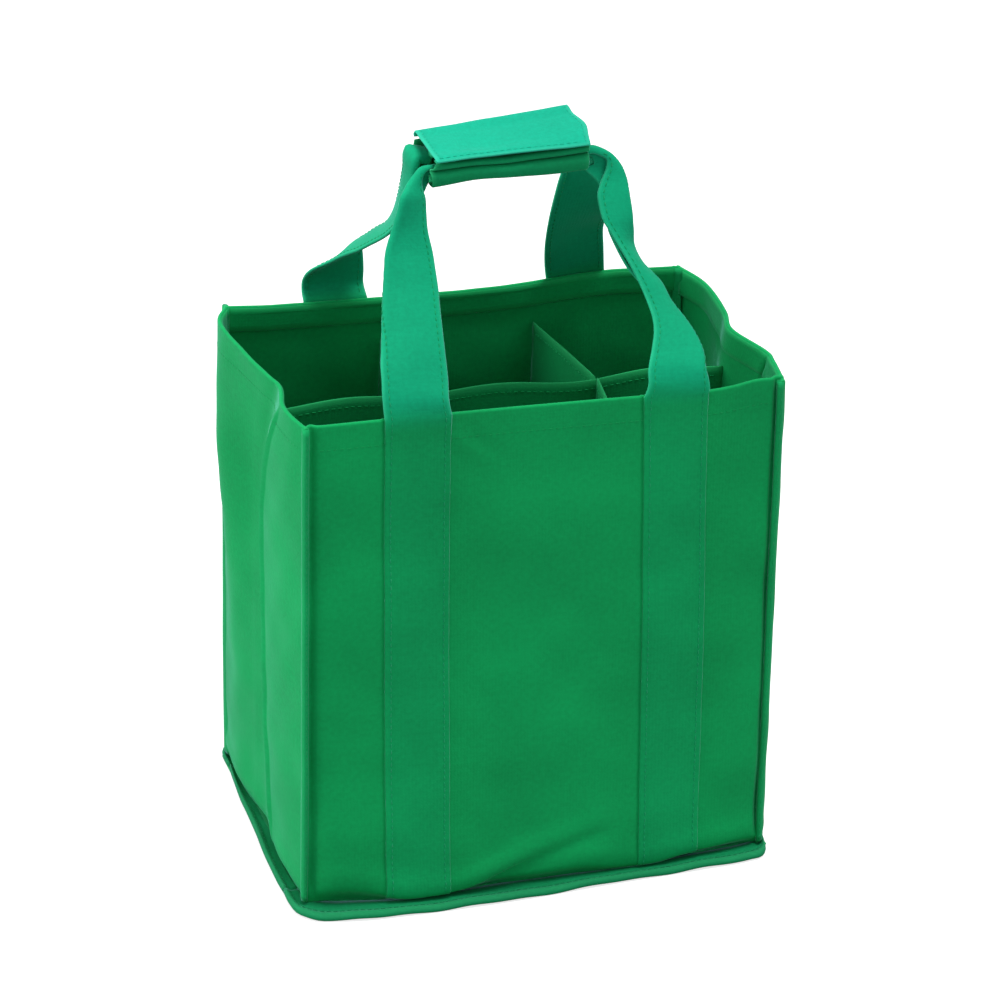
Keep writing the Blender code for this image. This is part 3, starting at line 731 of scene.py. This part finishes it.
def back_wall(x, z):
    """Y of the back's outer face."""
    share = np.clip(1 - z / RIM, 0, 1) ** 0.85
    foot, rim = along(BACK_FOOT, x), along(BACK_RIM, x)
    slack = 0.9 * ripple(x, z, 90, 8) * ease((RIM - z) / 50) + 0.2 * ripple(x, z, 30, 9)
    return rim + (foot - rim) * share + ease(z / 20) * slack


def rim_lift(x, z):
    """How far the front's cloth is lifted by its uneven rim."""
    return (along(FRONT_RIM_HEIGHT, x) - RIM) * ease((z - RIM_LIFT_FROM) / (RIM - RIM_LIFT_FROM))


def gusset_point(table, share, z):
    """(x, y) of a gusset's outer face at a share of its depth, from front to back."""
    levels = sorted(table)
    stations = np.array([table[level] for level in levels], float)
    places = np.linspace(0, 1, stations.shape[1])
    across = spline(places, stations.transpose(1, 0, 2), share)
    return np.array([spline(levels, column, z) for column in across])


def wall_grid(place, rows, inward):
    """A wall's grid from its foot to its rim, rolled over to the inside."""
    grid = np.stack([place(z) for z in rows])
    rim = grid[-1]
    up = np.array([0, 0, 1.0])
    extra = []
    for angle in np.linspace(20, 180, ROLL_ROWS):
        turn = math.radians(angle)
        extra.append(rim + inward * RIM_ROLL * (1 - math.cos(turn)) + up * RIM_ROLL * math.sin(turn))
    for drop in ROLL_DROPS:
        extra.append(rim + inward * RIM_ROLL * 2 - up * drop)
    return np.concatenate([grid, np.stack(extra)])


def wall_rows(step):
    """Heights of a wall's rows, close together over the fold at the foot."""
    low = np.array([FOOT, 3.6, 4.4, 5.2, 6, 7, 8, 9.2, 10.4, 11.8, 13.2, 14.8, 16.6, 18.6, 20.8])
    return np.concatenate([low, spaced(23, RIM - RIM_ROLL, step)])


def make_walls():
    """The four walls, each one sheet from the foot's seam to the rolled rim."""
    made = {}
    columns = np.unique(np.concatenate([
        spaced(-118.6, -110, 0.86), spaced(-110, -83, 2.1), spaced(-83, -77.5, 0.55),
        spaced(-77.5, 44.5, 2.1), spaced(44.5, 52.5, 0.6), spaced(52.5, 108, 2.1), spaced(108, 118.6, 0.9),
    ]).round(3))

    def front_place(z):
        y = front_wall(columns, np.full_like(columns, z)) + SHEET / 2
        return np.stack([columns, y, z + rim_lift(columns, z)], -1)

    def back_place(z):
        x = columns[::-1]
        y = back_wall(x, np.full_like(x, z)) - SHEET / 2
        return np.stack([x, y, np.full_like(x, z)], -1)

    made["front"] = Cloth(
        "front_panel_cloth", wall_grid(front_place, wall_rows(2.2), np.array([0, 1.0, 0])), SHEET,
        "panel_cloth", "bag", ["front_panel"], flat=(245, 266), rests_on=["bottom_panel_cloth"],
    )
    made["back"] = Cloth(
        "back_panel_cloth", wall_grid(back_place, wall_rows(3), np.array([0, -1.0, 0])), SHEET,
        "panel_cloth", "bag", ["back_panel"], flat=(245, 266), rests_on=["bottom_panel_cloth"],
    )
    for side, table, sign in (("left", LEFT_GUSSET, -1), ("right", RIGHT_GUSSET, 1)):
        shares = np.linspace(0.0, 1.0, 92)
        if sign < 0:
            shares = shares[::-1]

        def gusset_place(z, table=table, sign=sign, shares=shares):
            spots = gusset_point(table, shares, z)
            spots[:, 0] += sign * (0.3 * ripple(spots[:, 1], z, 40, 12 + sign) - SHEET / 2)
            crease = bump(spots[:, 1], along(GUSSET_CREASE, np.array([z])), 1.5) * ease(z / 30)
            foot = 0.5 * bump(z, 13, 4) - 2.4 * ease((9 - z) / 6)
            spots[:, 0] += sign * (2.1 * ease((RIM - z) / 12) * crease + foot)
            return np.column_stack([spots, np.full(len(spots), z)])

        made[side] = Cloth(
            side + "_gusset_cloth", wall_grid(gusset_place, wall_rows(2.6), np.array([-sign * 1.0, 0, 0])),
            SHEET, "panel_cloth", "bag", [side + "_gusset"], flat=(160, 266),
            rests_on=["bottom_panel_cloth"],
        )
    return made


def make_hems(walls):
    """The folded hems inside the rim, each with its row of stitches outside."""
    for side, wall in walls.items():
        grid = wall.grid[:-ROLLED_ROWS]
        keep = grid[:, 0, 2] > RIM - HEM_DROP - 3
        inward = -wall.normal[:-ROLLED_ROWS][keep]
        inward[..., 2] = 0
        hem = grid[keep] + unit(inward) * (SHEET + 0.45)
        trim = 2
        Cloth(
            side + "_rim_hem_cloth", hem[:, trim:-trim], SHEET, "panel_cloth", "bag", [side + "_rim_hem"],
            flat=(236 if side in ("front", "back") else 150, 14), rests_on=[wall.piece.name],
        )
        height = np.interp(RIM - HEM_DROP, grid[:, 0, 2], wall.v[:-ROLLED_ROWS])
        stitches(side + "_hem_stitches", [wall.row_line(height)], "panel_cloth", "bag", FINE_THREAD_RADIUS)


def make_flanges():
    """The bound seam that stands out round the foot."""
    parts = {
        "front_base_binding": (FLANGE_INNER_FRONT, FLANGE_OUTER_FRONT, 1),
        "back_base_binding": (FLANGE_INNER_BACK, FLANGE_OUTER_BACK, -1),
        "left_base_binding": (FLANGE_INNER_LEFT, FLANGE_OUTER_LEFT, -1),
        "right_base_binding": (FLANGE_INNER_RIGHT, FLANGE_OUTER_RIGHT, 1),
    }
    for name, (inner, outer, turn) in parts.items():
        inner, outer = np.array(inner, float), np.array(outer, float)
        middle = (inner + outer) / 2
        steps = travelled(middle)
        where = spaced(0, steps[-1], 2.5)
        near, far = spline(steps, inner, where), spline(steps, outer, where)
        rings, line, normals = [], [], []
        for k in range(len(where)):
            place = far[k][0] - far[k][1]
            sag = 0.35 * math.sin(place / 9.0) + 0.25 * math.sin(place / 4.6 + 1)
            ring = []
            for share, height in FLANGE_SECTION:
                x, y = near[k] + (far[k] - near[k]) * share
                ring.append([x, y, height + sag * share])
            rings.append(ring[::turn])
            x, y = near[k] + (far[k] - near[k]) * FLANGE_STITCH_SHARE
            line.append([x, y, FLANGE_STITCH_HEIGHT + sag * FLANGE_STITCH_SHARE])
            normals.append([0, 0, 1.0])
        # The seam's paint is darker than the walls': painted shade
        bar(name + "_cloth", rings, "seam_cloth", "bag", [name], FLANGE_WORN[::turn])
        seam = [(np.array(line), np.array(normals))]
        stitches(name + "_stitches", seam, "seam_cloth", "bag", FINE_THREAD_RADIUS)


def make_fins():
    """The sewn corner seams, standing out as narrow bands."""
    for face, front_sign in (("front", 1), ("back", -1)):
        for side, side_sign in (("left", 1), ("right", -1)):
            table = LEFT_GUSSET if side == "left" else RIGHT_GUSSET
            share = np.array([0.0 if face == "front" else 1.0])
            rings, line, normals = [], [], []
            for z in spaced(4.2, RIM - 0.3, 3):
                x, y = gusset_point(table, share, z)[0]
                wave = 0.25 * math.sin(z / 17 + side_sign) + 0.15 * math.sin(z / 6.5)

                def spot(dx, dy):
                    return [x + side_sign * dx, y + front_sign * (dy + wave), z]

                ring = [spot(*place) for place in FIN_SECTIONS[side]]
                rings.append(ring if side_sign * front_sign > 0 else ring[::-1])
                line.append(spot(*FIN_STITCHES[side]))
                normals.append([0, -front_sign, 0])
            name = face + "_" + side + "_corner_seam"
            bar(name + "_cloth", rings, "seam_cloth", "bag", [name], paint="fin_cloth")
            seam = [(np.array(line), np.array(normals, float))]
            stitches(
                face + "_" + side + "_corner_stitches", seam, "panel_cloth", "bag", FINE_THREAD_RADIUS,
            )


def make_bottom():
    """The bottom panel and the board that lies on it."""
    x = np.concatenate([[-121], spaced(-118, 118, 6), [121]])
    front = np.minimum(along(FRONT_SEAM, x) - 1.0, -78)
    back = np.maximum(along(BACK_FOOT, x) + 1.0, 78)
    shares = np.linspace(0, 1, 30)
    grid = np.stack([
        np.stack([x, front + (back - front) * s, np.full_like(x, 0.75)], -1) for s in shares
    ])
    grid[..., 2] += 0.12 * ripple(grid[..., 0], grid[..., 1], 60, 21)
    Cloth(
        "bottom_panel_cloth", grid, BOTTOM_SHEET, "panel_cloth", "bag", ["bottom_panel"], flat=(242, 186),
        held="laid", rests_on=["front_base_binding_cloth"],
    )
    rings = []
    for inset, z in BOARD_EDGE:
        ring = []
        for corner in range(4):
            x = (BOARD_HALF_X - BOARD_CORNER) * (1 if corner in (0, 3) else -1)
            y = (BOARD_HALF_Y - BOARD_CORNER) * (1 if corner in (0, 1) else -1)
            for step in range(7):
                angle = math.radians(corner * 90 + step * 15)
                reach = BOARD_CORNER - inset
                ring.append([x + reach * math.cos(angle), y + reach * math.sin(angle), z])
        rings.append(ring)
    bar("base_board_cover", rings, "base_board", "base_board", ["base_board"])
    top = BOARD_EDGE[-1][1]
    line = np.array([[x, y, top] for x, y in BOARD_STITCHES], float)
    up = np.tile([0, 0, 1.0], (len(line), 1))
    stitches("base_board_stitches", [(line, up)], "divider_cloth", "base_board")


def hemmed_divider(name, grid, flat, rests_on):
    """A divider with a row of stitches on both sides of its top."""
    sheet = Cloth(
        name + "_cloth", grid, SHEET, "divider_cloth", "bag", [name], flat=flat, rests_on=rests_on,
    )
    lines = [sheet.row_line(-DIVIDER_STITCH_INSET, side) for side in (1, -1)]
    stitches(name + "_stitches", lines, "divider_cloth", "bag")


def make_dividers():
    """The cell dividers, which sag between their sewn ends, with hemmed tops."""
    levels = spaced(DIVIDER_FOOT, DIVIDER_TOP, 4)
    x = spaced(-116.4, 116.4, 3.5)

    def long_y(x, z):
        sway = 1.6 * np.sin(x / 26 + z / 70) * np.cos(math.pi * x / 236)
        return sway * (0.4 + 0.6 * z / DIVIDER_TOP)

    rows = []
    for z in levels:
        top_wave = 1.4 * np.cos(x / 12.6) * (z / DIVIDER_TOP) ** 3
        rows.append(np.stack([x, long_y(x, z), z + top_wave - 1.5 * ease((z - 20) / 60)], -1))
    hemmed_divider("long_divider", np.stack(rows), (236, 212), ["left_gusset_cloth", "right_gusset_cloth"])
    shares = np.linspace(0, 1, 20)
    for face, sign, wall in (("front", -1, front_wall), ("back", 1, back_wall)):
        for number, (at_wall, at_middle) in enumerate(CROSS_DIVIDERS[face], 1):
            rows = []
            for z in levels:
                reach = abs(wall(np.array([at_wall]), np.array([z]))[0]) - SHEET - 1.2
                lean = (at_middle - at_wall) * (1 - shares) ** 1.4 * (0.4 + 0.6 * z / DIVIDER_TOP)
                y = sign * (1.4 + (reach - 1.4) * shares) + long_y(at_middle, z) * (1 - shares)
                height = z - 1.5 * ease((z - 20) / 60) + 1.2 * np.sin(shares * math.pi)
                rows.append(np.stack([at_wall + lean, y, height], -1))
            name = face + "_cross_divider_" + str(number)
            hemmed_divider(name, np.stack(rows), (80, 212), ["long_divider_cloth"])


def run_rows(name):
    """Where a strap lies on its wall, from the foot to the rim."""
    front = name.startswith("front")
    wall, out = (front_wall, -1) if front else (back_wall, 1)
    shares = np.linspace(-0.5, 0.5, STRAP_COLUMNS + 1)
    low = [3.6, 4.6, 5.8, 7.2, 8.8, 10.6, 12.8, 15.4, 18.4, 21.8]
    rows = []
    for z in np.concatenate([low, spaced(25, RIM, 3)]):
        x = along(STRAP_CENTRES[name], np.array([z]))[0] + shares * STRAP_WIDTH * 1.01
        lift = rim_lift(x, z) if front else np.zeros_like(x)
        arch = 0.10 + 0.15 * (1 - (2 * shares) ** 2)
        proud = STRAP_SEWN_SHEET / 2 + arch + 0.5 * float(ease((z - RIM + 14) / 14))
        rows.append(np.stack([x, wall(x, np.full_like(x, z)) + out * proud, z + lift], -1))
    return np.stack(rows)


def seen_point(pixel, depths, behind):
    """Where the line of sight through a pixel meets a depth curve, or the same curve moved back."""
    right, up, ahead = camera_axes()
    from_middle = right * (pixel[0] - PHOTO_PIXELS / 2) + up * (PHOTO_PIXELS / 2 - pixel[1])
    sight = from_middle + ahead * PHOTO_PIXELS * FOCAL_MM / SENSOR_MM
    eye = np.array(CAMERA_PLACE) / MM
    heights = np.arange(*SIGHT_HEIGHTS)
    spots = eye + sight * ((heights - eye[2]) / sight[2])[:, None]
    levels = sorted(depths)
    curve = np.interp(heights, levels, [depths[level] for level in levels]) + behind
    return spots[np.argmin(np.abs(spots[:, 1] - curve))]


def leg_stations(name):
    """Free edge, crease edge and folded width of a leg at each station from rim to grip."""
    stations = []
    for free_pixel, crease_pixel, behind, *folded in LEG_SEEN[name]:
        free = seen_point(free_pixel, LEG_DEPTHS[name], 0)
        crease = seen_point(crease_pixel, LEG_DEPTHS[name], behind)
        width = np.linalg.norm(crease - free)
        left_over = max(0, min(STRAP_WIDTH - width, width + TUCK_BEYOND))
        stations.append((free, crease, folded[0] if folded else left_over))
    return [*stations, *LEG_PLACED[name]]


def leg_rows(name, start):
    """A strap that leaves the rim flat and folds lengthwise about a crease on the way to the grip."""
    turn = -1 if name.endswith("left") else 1
    outward = turn if name.startswith("back") else -turn
    edges = (start[-1], start[0]) if turn < 0 else (start[0], start[-1])
    stations = [(*edges, 0), *leg_stations(name)]
    free = np.array([s[0] for s in stations], float)
    crease = np.array([s[1] for s in stations], float)
    tuck = np.array([s[2] for s in stations], float)
    middle = (free + crease) / 2
    steps = travelled(middle)
    where = np.linspace(0, steps[-1], LEG_ROWS + 1)
    free, crease, middle = (spline(steps, points, where) for points in (free, crease, middle))
    tuck = np.clip(spline(steps, tuck, where), 0, None)[:, None]
    across = crease - free
    width = np.linalg.norm(across, axis=1)[:, None]
    across = unit(across)
    face_way = unit(np.cross(unit(np.gradient(middle, where, axis=0)), across)) * outward
    shares = np.linspace(0, 1, STRAP_COLUMNS + 1)[None, :]
    if turn < 0:
        shares = shares[:, ::-1]
    face = width - CREASE_RADIUS * ease(tuck / 3)
    place = shares * (face + tuck)
    angle = np.clip((place - face) / CREASE_RADIUS, 0, math.pi)
    behind = np.clip(place - face - CREASE_RADIUS * math.pi, 0, None)
    flat = np.minimum(place, face) + CREASE_RADIUS * np.sin(angle) - behind
    deep = CREASE_RADIUS * (1 - np.cos(angle))
    arch = np.sin(np.clip(place / face, 0, 1) * math.pi)
    swell = 0.05 * width * arch * ease(where / 40)[:, None]
    rows = free[:, None] + across[:, None] * flat[..., None] + face_way[:, None] * (swell - deep)[..., None]
    settle = 1 - ease(where / LEG_SETTLE)
    return rows + (start - rows[0]) * settle[:, None, None]


def make_straps():
    """The straps: sewn to the walls up to the rim, then free legs that bend and fold on the way up to the
    grip.
    """
    for name in STRAP_CENTRES:
        run = run_rows(name)
        leg = leg_rows(name, run[-1])
        grid = np.concatenate([run, leg[1:]])
        if name.startswith("back"):
            grid = grid[:, ::-1]
        height = np.concatenate([run[:, 0, 2], np.full(len(leg) - 1, RIM + 20)])
        thickness = STRAP_SEWN_SHEET + (STRAP_SHEET - STRAP_SEWN_SHEET) * ease((height - RIM + 14) / 14)
        sheet = Cloth(
            name + "_strap_cloth", grid, thickness[:, None, None], "strap_cloth", None,
            [name + "_strap_run", name + "_handle_leg"], flat=(31, 395), held="hung",
            rests_on=["grip_wrap_cloth", name.split("_")[0] + "_panel_cloth"],
            worn_rows=ease((height - RIM) / 10),
        )
        lines = []
        for inset in (STITCH_INSET, -STITCH_INSET):
            points, normals = sheet.column_line(inset)
            lines.append((points[:-LEG_ROWS // 12], normals[:-LEG_ROWS // 12]))
            points, normals = sheet.column_line(inset, -1)
            lines.append((points[len(run):-LEG_ROWS // 4], normals[len(run):-LEG_ROWS // 4]))
        thread = stitches(name + "_strap_stitches", lines, "strap_cloth", None)
        for piece in (sheet.piece, thread):
            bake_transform(piece)


def make_wrap():
    """The wrap round the gathered straps."""
    x = spaced(WRAP_X[0], WRAP_X[-1], 2)
    low_lift, high_lift = spline(WRAP_X, WRAP_LIFT_LOW, x), spline(WRAP_X, WRAP_LIFT_HIGH, x)
    path = np.array(WRAP_PATH, float)
    steps = travelled(path)
    where = spaced(0, steps[-1], GRIP_STEP)
    ring = spline(steps, path, where)
    shares = np.clip((ring[:, 1:] - WRAP_LOW) / (WRAP_HIGH - WRAP_LOW), 0, 1)
    z = ring[:, 1:] + low_lift * (1 - shares) + high_lift * shares
    grid = np.stack([np.broadcast_to(x, z.shape), np.broadcast_to(ring[:, :1], z.shape), z], -1)
    grid[..., 0] += along(WRAP_SHORT, where)[:, None] * (1 - ease((x - WRAP_X[0]) / 24))
    grid[..., 1] += 0.3 * ripple(grid[..., 0], grid[..., 2], 34, 31)
    grid[..., 2] += 0.35 * ripple(grid[..., 0], grid[..., 1], 30, 33)
    # Its paint is darker than the flap's: painted shade
    wrap = Cloth(
        "grip_wrap_cloth", grid, WRAP_SHEET, "grip_cloth", "grip", ["grip_wrap"], flat=(76, 84),
        held="folded", rests_on=["front_span_cloth", "back_span_cloth"], paint="shaded_wrap_cloth",
    )
    lines = [wrap.column_line(3), wrap.column_line(-3)]
    stitches("grip_wrap_stitches", lines, "strap_cloth", "grip", FINE_THREAD_RADIUS)


def make_spans():
    """The two folded straps inside the wrap."""
    shares = np.linspace(-0.5, 0.5, 17)
    bent = np.clip(shares * STRAP_WIDTH / SPAN_BEND, -math.pi / 2, math.pi / 2)
    leaf = np.clip(np.abs(shares) * STRAP_WIDTH - SPAN_BEND * math.pi / 2, 0, None)
    for name, sign in (("front", -1), ("back", 1)):
        y = sign * SPAN_Y + sign * SPAN_BEND * np.cos(bent) - sign * leaf
        rows = []
        for x in spaced(*SPAN_ENDS, 3):
            rise = float(spline(WRAP_X, WRAP_LIFT_LOW, np.array([x]))[0])
            rows.append(np.stack([np.full_like(y, x), y, SPAN_Z + SPAN_BEND * np.sin(bent) + rise], -1))
        grid = np.stack(rows)
        if sign > 0:
            grid = grid[:, ::-1]
        Cloth(
            name + "_span_cloth", grid, STRAP_SHEET, "strap_cloth", "grip", [name + "_handle_span"],
            flat=(31, 76), held="folded", rests_on=["grip_wrap_cloth"],
        )


def make_flap():
    """The flap that closes over the wrap."""
    x = spaced(FLAP_X[0], FLAP_X[-1], 2)
    stations = np.stack([spline(FLAP_X, row, x) for row in FLAP_ROWS])
    steps = travelled(stations.mean(1))
    spots = spline(steps, stations, spaced(0, steps[-1], GRIP_STEP))
    grid = np.concatenate([np.broadcast_to(x[None, :, None], spots.shape[:2] + (1,)), spots], -1)
    grid[..., 0] += 2.4 * bump(grid[..., 1], -5, 9) * ease((grid[..., 0] - 24) / 11)
    grid[..., 2] += 0.2 * ripple(grid[..., 0], grid[..., 1], 30, 41)
    # Its paint is the grip colour, which carries painted light from above
    flap = Cloth(
        "grip_flap_cloth", grid[::-1], WRAP_SHEET, "grip_cloth", "flap", ["grip_flap"], flat=(76, 46),
        held="folded", rests_on=["grip_wrap_cloth"],
    )
    lines = [flap.row_line(2.2), flap.column_line(1.8), flap.column_line(-1.8)]
    stitches("grip_flap_stitches", lines, "grip_cloth", "flap", FINE_THREAD_RADIUS)


def make_tapes():
    """The closing tapes under the flap and on the wrap."""
    x, y = spaced(*TAPE_X, GRIP_STEP), spaced(*TAPE_Y, GRIP_STEP)
    for name, body, under, base, side, rise in (
        ("loop_tape", "grip", "grip_wrap_cloth", LOOP_TAPE_Z, 1, spline(WRAP_X, WRAP_LIFT_HIGH, x)),
        ("hook_tape", "flap", "grip_flap_cloth", HOOK_TAPE_Z, -1, spline(FLAP_X, TAPE_RISE, x)),
    ):
        grid = np.stack([np.stack([x, np.full_like(x, spot), base + rise], -1) for spot in y])
        tape = Cloth(
            name + "_pile", grid, TAPE_SHEET, name, body, [name], flat=(65, 13), held="laid",
            rests_on=[under],
        )
        lines = [tape.row_line(inset, side) for inset in (TAPE_STITCH_INSET, -TAPE_STITCH_INSET)]
        stitches(name + "_stitches", lines, "grip_cloth", body)


# Stage


def feed(tree, node, *sources):
    """Join sources to a node's entries, in order."""
    for source, entry in zip(sources, node.inputs):
        tree.links.new(source, entry)
    return node


def floor_nodes(tree):
    """A floor that takes soft shadows, glows to the camera, and lights nothing."""
    tree.nodes.clear()
    diffuse = add_node(tree, "ShaderNodeBsdfDiffuse", Color=(0.42, 0.42, 0.42, 1)).outputs[0]
    glow = add_node(tree, "ShaderNodeEmission", Strength=0.76).outputs[0]
    nothing = add_node(tree, "ShaderNodeEmission", Strength=0.0).outputs[0]
    ray = tree.nodes.new("ShaderNodeLightPath").outputs
    seen = add_node(tree, "ShaderNodeMath", operation="MAXIMUM")
    feed(tree, seen, ray["Is Camera Ray"], ray["Is Glossy Ray"])
    through = add_node(tree, "ShaderNodeMath", operation="MAXIMUM")
    feed(tree, through, seen.outputs[0], ray["Is Transmission Ray"])
    pick = feed(tree, tree.nodes.new("ShaderNodeMixShader"), through.outputs[0], nothing, glow)
    both = feed(tree, tree.nodes.new("ShaderNodeAddShader"), diffuse, pick.outputs[0])
    feed(tree, tree.nodes.new("ShaderNodeOutputMaterial"), both.outputs[0])


def world_nodes(tree):
    """A soft sky that the camera sees as white."""
    tree.nodes.clear()
    soft = add_node(tree, "ShaderNodeBackground", Color=(0.94, 0.97, 1.0, 1), Strength=0.51).outputs[0]
    white = add_node(tree, "ShaderNodeBackground", Color=(1, 1, 1, 1), Strength=1.0).outputs[0]
    seen = tree.nodes.new("ShaderNodeLightPath").outputs["Is Camera Ray"]
    pick = feed(tree, tree.nodes.new("ShaderNodeMixShader"), seen, soft, white)
    feed(tree, tree.nodes.new("ShaderNodeOutputWorld"), pick.outputs[0])


def make_stage():
    """A pale floor, soft lamps and the photograph's camera."""
    scene = bpy.context.scene
    scene.view_settings.view_transform = "Standard"
    mesh = bpy.data.meshes.new("floor")
    mesh.from_pydata([(-20, -20, 0), (20, -20, 0), (20, 20, 0), (-20, 20, 0)], [], [(0, 1, 2, 3)])
    floor = bpy.data.objects.new("floor", mesh)
    scene.collection.objects.link(floor)
    material = bpy.data.materials.new("floor")
    material.use_nodes = True
    floor_nodes(material.node_tree)
    floor.data.materials.append(material)

    scene.world = bpy.data.worlds.new("studio")
    scene.world.use_nodes = True
    world_nodes(scene.world.node_tree)

    for name, towards, strength, angle in (
        ("key", (-0.10, 0.06, -0.99), 2.7, 30),
        ("fill", (0.88, -0.26, -0.36), 2.0, 50),
    ):
        lamp = bpy.data.lights.new(name, "SUN")
        lamp.energy = strength
        lamp.angle = math.radians(angle)
        holder = bpy.data.objects.new(name, lamp)
        holder.rotation_euler = Vector(towards).to_track_quat("-Z", "Y").to_euler()
        scene.collection.objects.link(holder)

    right, up, ahead = camera_axes()
    data = bpy.data.cameras.new("camera")
    data.sensor_width = SENSOR_MM
    data.lens = FOCAL_MM
    camera = bpy.data.objects.new("camera", data)
    turned = Matrix((right.tolist(), up.tolist(), (-ahead).tolist())).transposed().to_4x4()
    camera.matrix_world = Matrix.Translation(CAMERA_PLACE) @ turned
    data.clip_start = 0.05
    data.clip_end = 60
    scene.collection.objects.link(camera)
    scene.camera = camera


make_stage()
walls = make_walls()
make_hems(walls)
make_flanges()
make_fins()
make_bottom()
make_dividers()
make_straps()
make_wrap()
make_spans()
make_flap()
make_tapes()
